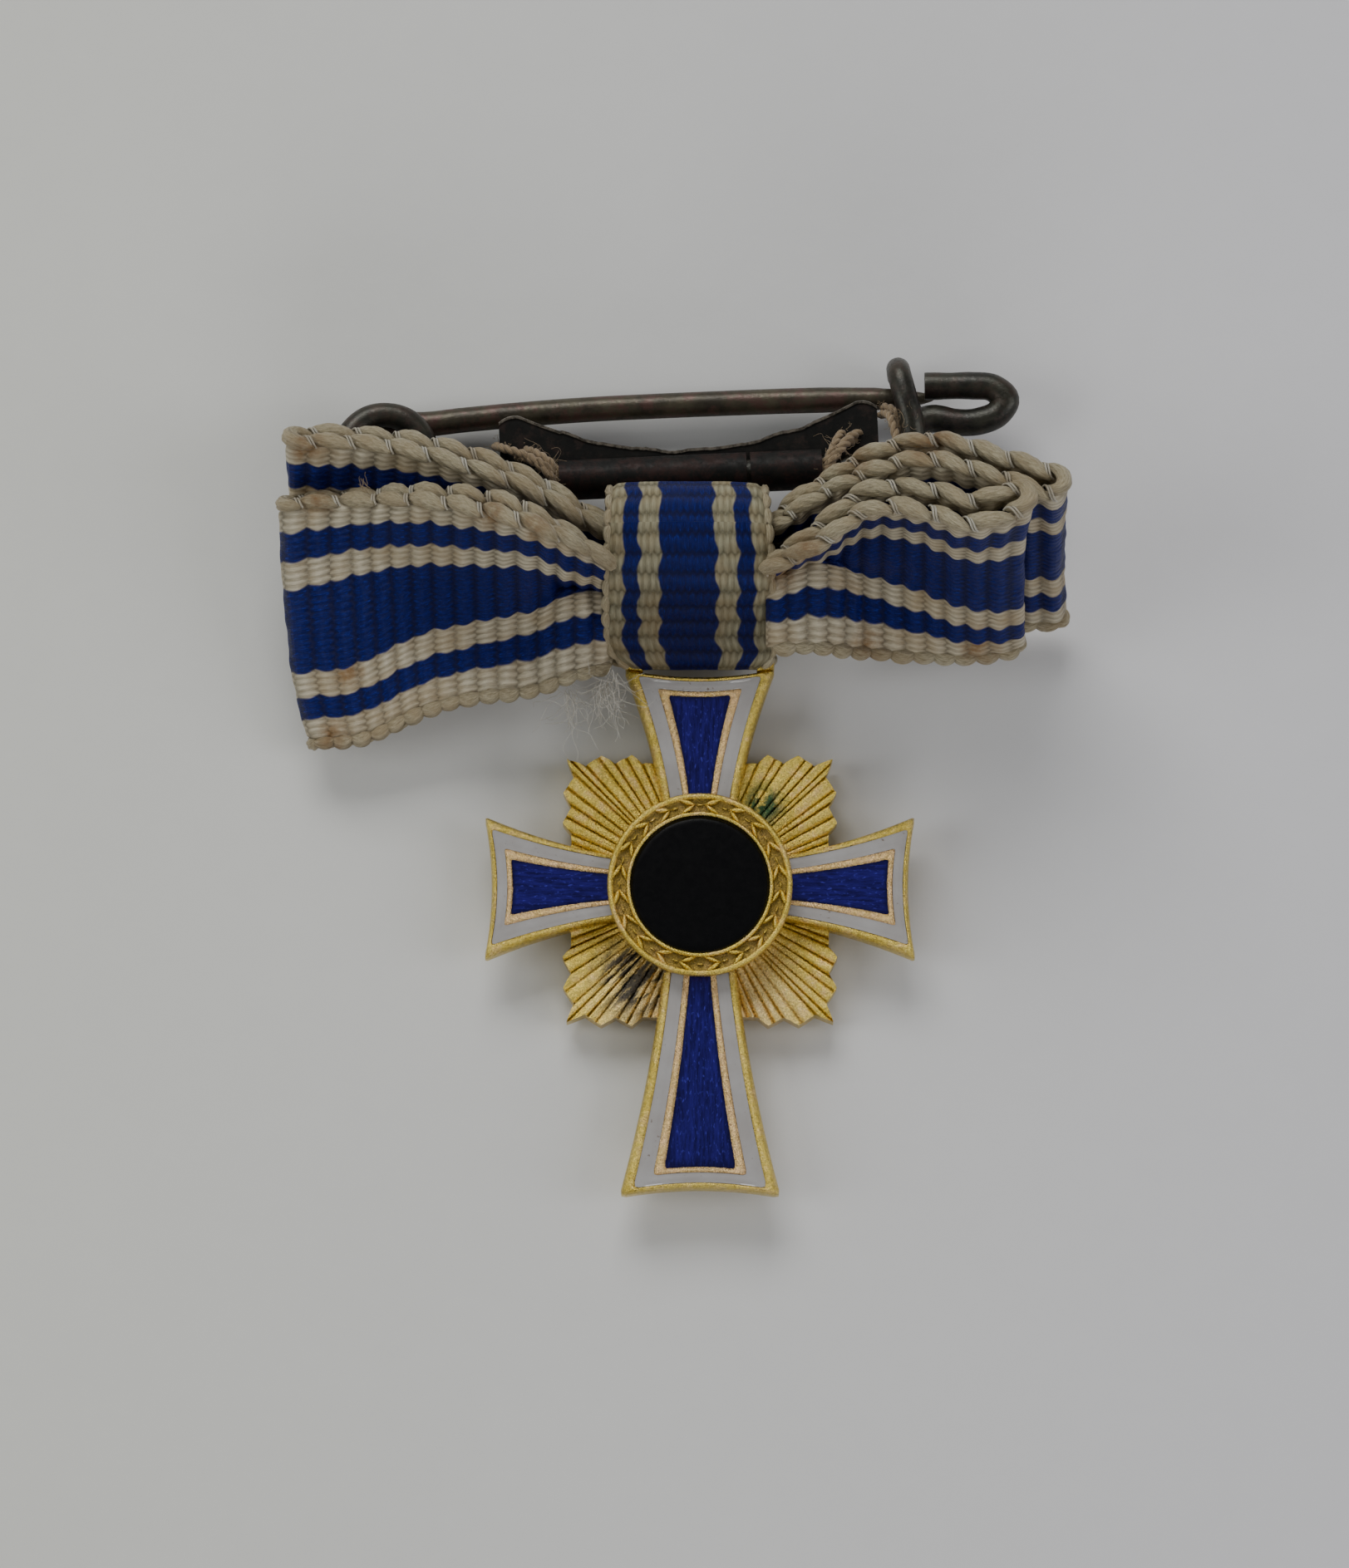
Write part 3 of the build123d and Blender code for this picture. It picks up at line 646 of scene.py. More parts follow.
# --- the cross ---------------------------------------------------------------------------------
ARMS = {  # turn, length, width at the end, and at the medallion the arm's and its bands' widths
    "top": (0, 8.75, 6.0, (3.0, 2.28, 1.28, 0.78)),
    "left": (90, 8.5, 5.75, (2.6, 2.2, 1.38, 0.98)),
    "bottom": (180, 12.25, 6.35, (2.9, 2.24, 1.26, 0.78)),
    "right": (270, 8.5, 5.75, (2.6, 2.2, 1.38, 0.98)),
}
WAIST_R = RING_R - 0.25
END_DIP = (0.30, 0.24, 0.13, 0.08)  # how hollow the end of each of an arm's four outlines is
FLARE = 0.45  # how much narrower an arm gets for each millimetre in from its end
RIM = (0.29, 0.38)  # gold beside the enamel: at an arm's end, and along its flank
WHITE = (0.50, 0.48)
WALL = (0.28, 0.29)
ARM_ROWS = 34
ARM_COLUMNS = 23
CELL_FLOOR = -0.4  # depth of the cells that hold the enamel
FILL_FOOT = -0.39
WALL_SLOT = 1  # the place of a look in its piece's list of materials


def arc(start, middle, end, count):
    """Points along the circle through three points."""
    (ax, ay), (bx, by), (cx, cy) = start, middle, end
    d = 2 * (ax * (by - cy) + bx * (cy - ay) + cx * (ay - by))
    a2, b2, c2 = ax * ax + ay * ay, bx * bx + by * by, cx * cx + cy * cy
    ux = (a2 * (by - cy) + b2 * (cy - ay) + c2 * (ay - by)) / d
    uy = (a2 * (cx - bx) + b2 * (ax - cx) + c2 * (bx - ax)) / d
    angles = np.unwrap([math.atan2(y - uy, x - ux) for x, y in (start, middle, end)])
    radius = math.hypot(ax - ux, ay - uy)
    at = np.linspace(angles[0], angles[2], count)
    return np.stack([ux + radius * np.cos(at), uy + radius * np.sin(at)], -1)


def between(name, outer, share):
    """One arm's face, foot to end, at a share of the way from one of its four outlines to the next."""
    turn, length, end_width, feet = ARMS[name]
    steps = np.cumsum([(0, 0), RIM, WHITE, WALL], axis=0)
    inner = min(outer + 1, 3)
    end_inset, flank_inset = steps[outer] + (steps[inner] - steps[outer]) * share
    foot_width = feet[outer] + (feet[inner] - feet[outer]) * share
    corner = (end_width / 2 - 1.12 * flank_inset - FLARE * end_inset, length - end_inset)
    foot = (foot_width / 2, WAIST_R)
    middle = (foot[0] + 0.4 * (corner[0] - foot[0]), (foot[1] + corner[1]) / 2)
    flank = arc(foot, middle, corner, ARM_ROWS)
    side = np.linspace(1, -1, ARM_COLUMNS)
    hollow = END_DIP[outer] + (END_DIP[inner] - END_DIP[outer]) * share
    dip = hollow * np.linspace(0, 1, ARM_ROWS)[:, None] ** 3
    x = flank[:, :1] * side
    y = flank[:, 1:] - dip * (1 - side**2)
    for column, beside in ((0, 1), (-1, -2)):
        for places in (x, y):  # the corners are blunt
            places[-1, column] = (2 * places[-1, column] + places[-2, column] + places[-1, beside]) / 4
    c, s = math.cos(math.radians(turn)), math.sin(math.radians(turn))
    return np.stack([x * c - y * s, x * s + y * c], -1)


def outline(face):
    """The edge of an arm's face: up the right flank, across the end and down the left."""
    return np.concatenate([face[:, 0], face[-1, 1:-1], face[::-1, -1]])


def raised(points, height):
    """Flat points lifted to a height above or below the enamel's level."""
    z = np.broadcast_to(CROSS_FRONT + np.asarray(height, float), points.shape[:-1])
    return np.concatenate([points, z[..., None]], -1)


def loft(name, profile):
    """Outlines stacked into rows of points; a row is (outline, share of the way in, height)."""
    faces = [(between(name, outer, share), height) for outer, share, height in profile]
    return np.array([raised(outline(face), height) for face, height in faces])


def gold_arm(piece, name):
    """An arm's rim, the floor of its cells and, from the row numbered inner, the wall inside it."""
    back = CROSS_BACK - CROSS_FRONT
    profile = [
        (0, 0.25, back),
        (0, 0.0, back + 0.12),
        (0, 0.0, -0.34),
        (0, 0.10, -0.17),
        (0, 0.26, -0.05),
        (0, 0.42, 0.0),
        (0, 0.62, 0.025),
        (0, 0.86, 0.01),
        (0, 1.0, -0.04),
        (0, 1.0, CELL_FLOOR),
        (2, 0.0, CELL_FLOOR),
        (2, 0.0, -0.04),
        (2, 0.15, 0.01),
        (2, 0.35, 0.03),
        (2, 0.65, 0.03),
        (2, 0.85, 0.01),
        (2, 1.0, -0.04),
        (2, 1.0, CELL_FLOOR),
    ]
    inner = 10
    rows = loft(name, profile)
    rows[3:, :, 2] += RNG.normal(0, 0.004, rows[3:, :, 2].shape)
    piece.grid(rows[: inner + 1], close_columns=True, flip=True)
    piece.grid(rows[inner:], slot=WALL_SLOT, close_columns=True, flip=True)
    piece.grid(raised(between(name, 0, 0.25), back))
    piece.grid(raised(between(name, 2, 1.0), CELL_FLOOR), flip=True)


def ear(piece, side):
    """A flat lug that rises from a top corner, behind the knot, and holds the bar's end."""
    corner = ARMS["top"][1]
    shape = [
        (2.25, corner - 0.12),
        (2.94, corner - 0.04),
        (2.94, corner + 0.2),
        (2.93, BAR[1] + 0.10),
        (2.78, BAR[1] + 0.34),
        (2.52, BAR[1] + 0.36),
        (2.34, BAR[1] + 0.10),
        (2.25, corner + 0.1),
    ]
    edge = resample(np.array(shape + shape[:1]), 0.06)[0][:-1]
    middle = edge.mean(axis=0)
    rise = np.clip((edge[:, 1] - corner) / (BAR[1] - corner), 0, 1) * (BAR[2] + 0.32 - CROSS_FRONT)
    rows = []
    for inset, drop in ((0.12, 0.95), (0.0, 0.85), (0.0, 0.12), (0.10, 0.02), (0.7, 0.0)):
        line = edge + (middle - edge) * inset
        rows.append(np.column_stack([line[:, 0] * side, line[:, 1], CROSS_FRONT + rise - drop]))
    index = piece.grid(np.array(rows), close_columns=True)
    piece.cap(index[0, :-1])
    piece.cap(index[-1, :-1])


def make_shell():
    shell = Piece()
    for name in ARMS:
        gold_arm(shell, name)
    hub = RING_R - 0.2
    shell.lathe([(0.01, CROSS_BACK), (hub, CROSS_BACK), (hub, CROSS_FRONT), (0.01, CROSS_FRONT)], 96)
    for side in (-1, 1):
        ear(shell, side)
    shell.make("cross_shell", "cross", [GILT, GILT_WALLS], ["cross_body"])


def make_white_fill(name, material):
    """The white band of one arm, a little domed between its gold walls."""
    dome = [(0.0, -0.02), (0.12, -0.035), (0.32, -0.012), (0.5, 0.0)]
    dome += [(1 - share, height) for share, height in dome[-2::-1]]
    profile = [(1, 0.0, FILL_FOOT), *((1, share, height) for share, height in dome), (1, 1.0, FILL_FOOT)]
    fill = Piece()
    index = fill.grid(loft(name, profile), close_rows=True, flip=True)
    fill.cap(index[:-1, 0])
    fill.cap(index[:-1, -1], flip=True)
    fill.make(f"white_fill_{name}", "cross", [material], [f"enamel_white_{name}"])


def make_blue_fill(name, material):
    """The blue field of one arm; its UV's first number falls to 0 at the edge."""
    face = between(name, 3, 0.0)
    across = np.abs(np.linspace(-1, 1, ARM_COLUMNS))[None]
    along = np.abs(np.linspace(-1, 1, ARM_ROWS))[:, None]
    drop = 0.03
    dome = -drop * np.maximum(across**4, along**12)
    inward = 1 - np.maximum(across**2, along**4)
    fill = Piece()
    fill.grid(raised(face, dome), np.stack([inward, 0 * inward], -1), flip=True)
    walls = [raised(outline(face), height) for height in (-drop, FILL_FOOT)]
    fill.grid(np.array(walls), close_columns=True)
    fill.make(f"blue_fill_{name}", "cross", [material], [f"enamel_blue_{name}"])


def make_cross():
    make_shell()
    white = white_enamel()
    for name in ARMS:
        make_white_fill(name, white)
    for name, (turn, *_) in ARMS.items():
        make_blue_fill(name, blue_enamel(math.radians(-turn)))


# --- rays --------------------------------------------------------------------------------------
RAY_HALF = 7.43 / math.sqrt(2)
RAY_SIDE = [  # one side's outline from its middle to the corner: along and out, as shares of RAY_HALF
    (0.22, 0.965),
    (0.36, 0.965),
    (0.43, 0.965),
    (0.51, 1.03),
    (0.63, 0.965),
    (0.74, 1.025),
    (0.86, 0.945),
]
RAY_TOP = 1.42
RAY_RIDGE = 0.20  # how high the ridges stand at the edge
RAY_INNER = 2.6
RAY_PITCH = 3.9  # degrees from groove to groove


def ray_outline():
    """Angle and radius of one quarter of the square star's outline."""
    corner = RAY_SIDE + [(1.0, 1.0)] + [(out, across) for across, out in reversed(RAY_SIDE)]
    points = np.array(corner) * RAY_HALF
    angle = np.arctan2(points[:, 1], points[:, 0])
    return angle[::-1], np.hypot(points[:, 0], points[:, 1])[::-1]


def flutes(at):
    """How high the ray plate stands at angles of its first quarter: ridges between sharp grooves."""
    notches = [math.degrees(math.atan2(across, out)) for across, out in RAY_SIDE[::2]]
    notches += [90 - notch for notch in notches[::-1]]
    grooves = [0.0]
    for start, end in zip(notches, notches[1:]):
        count = max(2, round((end - start) / RAY_PITCH))
        grooves += list(start + (end - start) * (np.arange(count) + RNG.uniform(-0.22, 0.22, count)) / count)
    grooves = np.radians(np.array(grooves + [notches[-1], 90.0]))
    i = np.clip(np.searchsorted(grooves, at), 1, len(grooves) - 1)
    t = (at - grooves[i - 1]) / (grooves[i] - grooves[i - 1])
    tall = RNG.uniform(0.6, 1.0, len(grooves))[i]
    lean = RNG.uniform(-0.35, 0.35, len(grooves))[i]
    return tall * (1 - np.abs(2 * t - 1) ** 3.5) * (1 + lean * (2 * t - 1))


def make_rays():
    angle, radius = ray_outline()
    rows, columns = 36, 560
    at = np.linspace(angle[0], angle[-1], columns)
    edge = np.interp(at, angle, radius)
    share = np.linspace(0, 1, rows)[:, None]
    r = RAY_INNER + (edge - RAY_INNER) * share
    plate = Piece()
    for quarter in range(4):
        turned = at + quarter * math.pi / 2
        height = RAY_RIDGE * flutes(at) * (0.5 + 0.5 * share)
        wobble = RNG.normal(0, 0.004, (rows, columns))
        top = RAY_TOP - RAY_RIDGE + height + wobble
        surface = np.stack([r * np.cos(turned), r * np.sin(turned), top], -1)
        outer, inner = surface[-1:], surface[:1]
        rest = [  # the rim, the side, the back's edge and the back's middle
            outer * (1, 1, 0) + (0, 0, RAY_TOP - 0.27),
            outer * (1, 1, 0) + (0, 0, RAY_BACK + 0.08),
            outer * (0.985, 0.985, 0) + (0, 0, RAY_BACK),
            inner * (1, 1, 0) + (0, 0, RAY_BACK),
        ]
        # the UV's first number is low in the grooves, where the gilt paints shade
        bright = np.vstack([np.clip(height / 0.10, 0, 1), np.ones((len(rest), columns))])
        uv = np.stack([bright, np.zeros_like(bright)], -1)
        plate.grid(np.concatenate([surface, *rest]), uv, close_rows=True)
    plate.make("ray_star", "cross", [GILT_RAYS], ["ray_plate"], sharp=50)


# --- medallion ---------------------------------------------------------------------------------
RING_TOP = span("medallion_ring")[1][2]
RING_BAND = RING_TOP - 0.24  # the sunk band that the leaves lie on
RING_FOOT = CROSS_FRONT
LEAF_COUNT = 20


def leaf(piece, angle, radius, lean, size):
    """A raised pointed leaf lying on the ring."""
    length, width, height = size
    u = np.linspace(-1, 1, 11)[:, None]
    v = np.linspace(-1, 1, 7)[None, :]
    half = width / 2 * (1 - np.abs(u) ** 1.8)
    x = u * length / 2 + 0 * v
    y = v * half
    z = height * (1 - np.abs(v) ** 2) * (1 - u**4) - 0.012 * (np.abs(v) < 0.2)
    turn = angle + math.pi / 2 + lean
    px = radius * math.cos(angle) + x * math.cos(turn) - y * math.sin(turn)
    py = radius * math.sin(angle) + x * math.sin(turn) + y * math.cos(turn)
    high = np.clip(z / height, 0, 1)
    # the UV's first number sets the gilt's painted shade: most at the leaf's edges, none on its crest
    piece.grid(np.stack([px, py, RING_BAND + z - 0.02], -1), np.stack([0.3 + 0.7 * high, high], -1))


def make_ring():
    ring = Piece()
    r = RING_R
    profile = [
        (DISC_R + 0.005, RING_FOOT),
        (DISC_R + 0.005, RING_TOP - 0.06),
        (DISC_R + 0.04, RING_TOP - 0.01),
        (DISC_R + 0.09, RING_TOP),
        (DISC_R + 0.14, RING_TOP - 0.03),
        (DISC_R + 0.18, RING_BAND),
        (DISC_R + 0.40, RING_BAND),
        (r - 0.30, RING_BAND),
        (r - 0.24, RING_BAND + 0.02),
        (r - 0.19, RING_TOP - 0.03),
        (r - 0.12, RING_TOP),
        (r - 0.05, RING_TOP - 0.04),
        (r, RING_TOP - 0.14),
        (r, RING_TOP - 0.40),
        (r - 0.05, RING_TOP - 0.50),
        (r - 0.06, RING_FOOT),
    ]
    # points below the bright height, the sunk band among them, get the gilt's painted shade
    ring.lathe(profile[::-1], 200, bright=RING_BAND + 0.03)
    middle = (DISC_R + r) / 2 - 0.02
    for k in range(LEAF_COUNT):
        angle = 2 * math.pi * (k + 0.5) / LEAF_COUNT
        way = 1 if math.cos(angle) > 0 else -1
        leaf(ring, angle, middle + 0.15, 0.45 * way, (0.80, 0.27, 0.24))
        leaf(ring, angle, middle - 0.15, -0.45 * way, (0.72, 0.24, 0.24))
        leaf(ring, angle + math.pi / LEAF_COUNT, middle, 0.0, (0.30, 0.10, 0.15))
    ring.make("laurel_ring", "cross", [GILT_RELIEF], ["medallion_ring"], sharp=60)


def make_disc():
    disc = Piece()
    top = span("medallion_disc")[1][2]
    rise = 0.06
    dome = [(share * DISC_R, top - rise * share**2) for share in np.linspace(0.003, 0.97, 14)]
    side = [(DISC_R - 0.02, CROSS_FRONT), (DISC_R - 0.005, top - rise - 0.05)]
    disc.lathe(side + dome[::-1], 160)
    disc.make("enamel_disc", "cross", [black_enamel()], ["medallion_disc"], sharp=60)


def gild_cad_nodes():
    """The rivet and the bar are plain enough to be seen as the CAD made them."""
    for node in ("centre_rivet", "suspension_bar"):
        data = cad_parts[node].data
        data.materials.clear()
        data.materials.append(GILT)


# --- ribbon ------------------------------------------------------------------------------------
ROWS = (0.0, 3.3, 4.95, 6.6, 9.9)  # where the control points lie across the ribbon
SELVAGE_ROOM = 0.27  # the woven cloth stops this far inside the ribbon's edge, where the beads lie
RIBBON_HALF = 0.13  # half the cloth's thickness between ribs
RIB_RISE = 0.13
STEP = 0.109  # from one row of the cloth's points to the next
ACROSS = 72
BEAD_SIDES = 28
BEAD_STRANDS = 7
BEAD_SLOT = 1
BINDING_SLOT = 2


def layer(stations, lean):
    """The front layer of a loop: rows of points from the knot outwards."""
    reach = np.array([abs(s[0]) for s in stations])
    share = ((reach - reach[0]) / (reach[-1] - reach[0])) ** 2.5
    rows = []
    for (x, ups, lifts), grown in zip(stations, share):
        rows.append([from_view(x + grown * in_by, up, lift) for in_by, up, lift in zip(lean, ups, lifts)])
    points = np.array(rows)
    places = np.linspace(SELVAGE_ROOM, BOW_WIDTH - SELVAGE_ROOM, ACROSS)
    across = smooth(ROWS, points.transpose(1, 0, 2), places).transpose(1, 0, 2)
    return smooth(reach, across, np.linspace(reach[0], reach[-1], 160))


def loop_strip(stations, lean, low_depth, high_depth, bulge):
    """One ribbon from the knot along the back layer, round the end and back along the front."""
    front = layer(stations, lean)
    chord = unit(front[:, -1] - front[:, 0])
    along = unit(np.gradient(front.mean(axis=1), axis=0))
    facing = unit(np.cross(along, chord))
    facing *= np.sign(facing[:, 2:3])
    share = np.linspace(0, 1, ACROSS)[None, :, None]
    flat = front[:, :1] * (1 - share) + front[:, -1:] * share
    away = np.linspace(0, 1, len(front))[:, None, None]
    depth = (low_depth + (high_depth - low_depth) * share) * np.clip(0.5 + 1.2 * away, 0, 1)
    own = 0.35 * away**0.7
    back = front * (1 - own) + flat * own - facing[:, None] * depth
    angle = np.linspace(0, np.pi, 24)[1:-1, None, None]
    middle, half = (front[-1] + back[-1]) / 2, (front[-1] - back[-1]) / 2
    outward = along[-1] * np.linalg.norm(half, axis=-1, keepdims=True) * bulge
    turn = middle + np.cos(angle) * half + np.sin(angle) * outward
    return resample(np.concatenate([back, turn[::-1], front[::-1]]), STEP)


def cloth(piece, strip, way, inset, width, rise, rib):
    """A closed sheet with ribs on both faces, from a strip of points; gives back its normals."""
    normal = unit(np.cross(np.gradient(strip, axis=0), np.gradient(strip, axis=1)))
    place = np.broadcast_to(np.linspace(inset, width - inset, strip.shape[1]), strip.shape[:2])
    uv = np.stack([np.broadcast_to(way[:, None], strip.shape[:2]), place], -1)
    drift = 0.05 * np.sin(place * 3.1) + 0.03 * np.sin(place * 7.7 + way[:, None])
    ribs = rise * (0.5 + 0.5 * np.cos(2 * np.pi * (way[:, None] + drift) / rib))
    edge = np.clip(np.minimum(place - inset, width - inset - place) / 0.3, 0.25, 1)
    lift = ((RIBBON_HALF + ribs) * edge)[..., None] * normal
    outer = piece.grid(strip + lift, uv)
    inner = piece.grid(strip - lift, uv)
    for row in (0, -1):
        for k in range(strip.shape[1] - 1):
            piece.cap((outer[row, k], inner[row, k], inner[row, k + 1], outer[row, k + 1]))
    for column in (0, -1):
        for k in range(strip.shape[0] - 1):
            piece.cap((outer[k, column], outer[k + 1, column], inner[k + 1, column], inner[k, column]))
    return normal


def bead(piece, line, outward, face, size, slant):
    """One plump bead of edge yarn, slanting from one face of the ribbon to the other."""
    share = np.linspace(-1, 1, len(line))[:, None]
    belly = 1 - share**2
    line = line + face * (share * size * slant) + outward * (belly * size * 0.50 - size * 0.20)
    fat = size * (0.20 + 0.80 * belly**0.8)
    angle = np.linspace(0, 2 * np.pi, BEAD_SIDES, endpoint=False)
    strand = np.abs(np.cos(BEAD_STRANDS / 2 * (angle - 1.4 * slant * share + RNG.uniform(0, 6))))
    fat = fat * (0.81 + 0.19 * strand**0.6 + RNG.normal(0, 0.012, strand.shape))
    piece.tube(line, fat, BEAD_SIDES, BEAD_SLOT)


def bound(piece, middle, along, outward, face, size):
    """Fine light threads wrapped slantwise over the neck between two beads."""
    angle = np.linspace(-1.9, 1.9, 14)[:, None]
    ring = np.cos(angle) * outward + np.sin(angle) * face
    for shift in (-0.18, 0.18):
        line = middle + ring * size * 0.78 + along * (angle * 0.42 + shift) * size
        piece.tube(line, size * 0.13, 6, BINDING_SLOT)


def selvage(piece, strip, way, normal, column, pitch, size, slant):
    """The beads along one edge of a strip, one of them at the fold's middle; steep ones are bound."""
    inside = 4 if column == 0 else -5
    line = strip[:, column]
    outward = unit(line - strip[:, inside])
    fold = way[np.abs(line[:, 0]).argmax()]
    at = fold % pitch
    while at < way[-1]:
        reach = pitch * RNG.uniform(0.57, 0.63)
        here = np.clip(np.linspace(at - reach, at + reach, 17), 0, way[-1])
        if here[-1] - here[0] > pitch * 0.6:
            rows = (line, outward, normal[:, column])
            middle, away, face = (
                np.stack([np.interp(here, way, row[:, i]) for i in range(3)], -1) for row in rows
            )
            bead(piece, middle, away, face, size * RNG.uniform(0.90, 1.08), slant)
            if slant > 0.5:
                bound(piece, middle[-3], unit(middle[-1] - middle[-4]), away[-3], face[-3], size)
        at += pitch * RNG.uniform(0.95, 1.05)


LOOPS = {  # lean of the end; depth below and above, and roundness; then stations from the knot out:
    # across, how far up each row is seen, and how far each row stands out
    "bow_front_right": (
        (0.1, 0.0, 0.0, 0.0, 0.3),
        (0.8, 1.1, 1.0),
        [
            (2.6, (9.2, 12.0, 12.2, 12.3, 12.5), (0.2, 0.7, -0.2, 0.6, 1.6)),
            (4.7, (9.2, 12.7, 12.8, 13.0, 13.6), (-0.1, 0.9, 0.1, 1.1, 4.2)),
            (6.5, (9.0, 12.4, 13.0, 13.9, 14.9), (-0.6, 0.1, 1.2, 2.4, 5.2)),
            (8.7, (8.9, 11.8, 12.8, 13.7, 14.9), (-1.0, 0.5, 1.8, 3.1, 6.0)),
            (10.6, (8.9, 11.1, 12.2, 13.0, 14.4), (-1.3, 0.9, 2.2, 3.6, 6.5)),
            (12.1, (9.1, 11.0, 12.1, 13.1, 14.9), (-1.4, 1.1, 2.4, 3.7, 6.6)),
        ],
    ),
    "bow_rear_right": (
        (0.1, 0.0, 0.0, 0.0, 0.0),
        (0.7, 1.0, 1.0),
        [
            (2.6, (11.0, 13.0, 13.3, 13.5, 14.0), (-1.0, -0.5, -0.8, -0.2, 0.8)),
            (4.7, (10.8, 13.1, 13.6, 14.0, 15.5), (-1.6, -0.6, -0.4, 0.3, 2.6)),
            (6.5, (10.7, 13.3, 14.1, 14.8, 16.4), (-2.2, -0.3, 0.5, 1.4, 3.9)),
            (8.7, (10.5, 13.0, 14.0, 14.9, 17.0), (-2.6, -0.4, 0.9, 2.3, 4.8)),
            (11.7, (10.2, 12.4, 13.4, 14.3, 16.3), (-2.6, -0.2, 1.2, 2.5, 5.2)),
            (13.8, (10.2, 12.3, 13.2, 14.1, 15.6), (-2.6, -0.2, 1.2, 2.5, 5.6)),
        ],
    ),
    "bow_front_left": (
        (1.15, 0.35, 0.2, 0.05, 0.0),
        (0.8, 1.0, 0.9),
        [
            (-3.5, (8.5, 11.6, 11.5, 11.9, 12.8), (-1.5, -0.3, -0.9, 0.1, 1.3)),
            (-5.0, (8.1, 11.5, 11.9, 12.2, 13.7), (-0.2, 0.1, -0.5, 1.4, 3.6)),
            (-6.6, (7.5, 11.0, 11.9, 12.7, 14.4), (-0.4, -0.2, 1.1, 2.5, 4.6)),
            (-8.6, (7.3, 10.6, 11.8, 12.8, 15.0), (-0.6, -0.5, 0.6, 1.8, 3.9)),
            (-11.2, (6.7, 10.0, 11.5, 12.8, 15.4), (-0.9, -0.8, 0.0, 0.9, 2.5)),
            (-13.8, (5.7, 8.8, 10.5, 12.3, 15.4), (-1.2, -1.1, -0.8, -0.5, 0.5)),
            (-16.0, (5.5, 8.5, 10.1, 11.8, 15.3), (-1.3, -1.2, -1.0, -0.8, -0.1)),
        ],
    ),
    "bow_rear_left": (
        (1.0, 0.4, 0.2, 0.0, 0.0),
        (0.45, 1.0, 0.9),
        [
            (-3.5, (11.0, 12.9, 13.0, 13.2, 14.0), (-1.1, -0.9, -1.3, -0.7, 0.3)),
            (-5.0, (10.8, 13.0, 13.3, 13.6, 14.8), (-1.4, -1.2, -1.4, -0.7, 0.8)),
            (-6.6, (10.7, 13.1, 13.8, 14.2, 15.7), (-1.8, -1.5, -1.2, -0.5, 1.3)),
            (-8.6, (10.0, 12.9, 14.0, 14.7, 16.5), (-2.2, -1.8, -1.2, -0.3, 1.6)),
            (-11.2, (9.1, 12.3, 13.7, 14.9, 17.3), (-2.6, -2.2, -1.6, -0.7, 1.2)),
            (-13.8, (8.5, 11.7, 13.3, 14.9, 17.7), (-2.9, -2.5, -1.9, -1.5, 0.5)),
            (-15.7, (8.6, 11.9, 13.4, 15.0, 17.7), (-2.9, -2.5, -1.9, -1.5, 0.4)),
        ],
    ),
}
BEAD_PITCH = (RIB, 1.55)  # along the lower edge and along the upper
BEAD_SIZE = (0.32, 0.34)
BEAD_SLANT = (0.15, 0.80)
RIBBON_LOOK = [SELVAGE, FLOSS]  # the materials of the beads and of the threads that bind them


def make_loops():
    for name, (lean, (low_depth, high_depth, bulge), stations) in LOOPS.items():
        strip, way = loop_strip(stations, lean, low_depth, high_depth, bulge)
        piece = Piece()
        normal = cloth(piece, strip, way, SELVAGE_ROOM, BOW_WIDTH, RIB_RISE, RIB)
        for edge in zip((0, -1), BEAD_PITCH, BEAD_SIZE, BEAD_SLANT):
            selvage(piece, strip, way, normal, *edge)
        look = [BOW_RIBBON, *RIBBON_LOOK]
        loop = piece.make(name.replace("bow", "loop"), "bow", look, [name], sharp=80)


KNOT_ROLLS = [(BAR[1], BAR[2], BAR_R + 0.40), (12.2, 4.35, 1.35), (13.75, 4.5, 1.95)]  # y, z, radius
KNOT_MIDDLE = np.array([13.0, 4.4])
KNOT_FOOT = 8.70  # the knot's ribbon is gathered below this y
KNOT_HALF = (2.15, 3.24)  # half its width, gathered and spread


def knot_line(shrink, count=400):
    """The knot's side view as points (y, z): the outline round the bar and two rolls."""
    angle = np.linspace(-np.pi, np.pi, 720, endpoint=False) - math.pi / 2
    facing = np.stack([np.cos(angle), np.sin(angle)], -1)
    rolls = np.array([(y, z) for y, z, _ in KNOT_ROLLS])
    radii = np.array([r - shrink for _, _, r in KNOT_ROLLS])
    reach = facing @ rolls.T + radii
    best = reach.argmax(axis=1)
    points = rolls[best] + radii[best][:, None] * facing
    points = np.vstack([points, points[:1]])
    return resample(points, lengths(points)[-1] / count)[0]


def knot_places(line, share):
    """Where a share of the knot ribbon's width lies over the side view's points, in x."""
    y = line[:, 0]
    gathered, spread = KNOT_HALF
    rise = np.clip((y - KNOT_FOOT) / 0.75, 0, 1)
    taper = np.clip((y - 12.0) / 3.5, 0, 1)
    half = gathered + (spread - gathered) * np.sqrt(1 - (1 - rise) ** 2) - 0.24 * taper
    middle = -0.15 - 0.27 * np.clip(y - KNOT_FOOT, 0, 1) - 0.08 * taper
    return middle[:, None] + (share[None] - 0.5) * 2 * half[:, None]


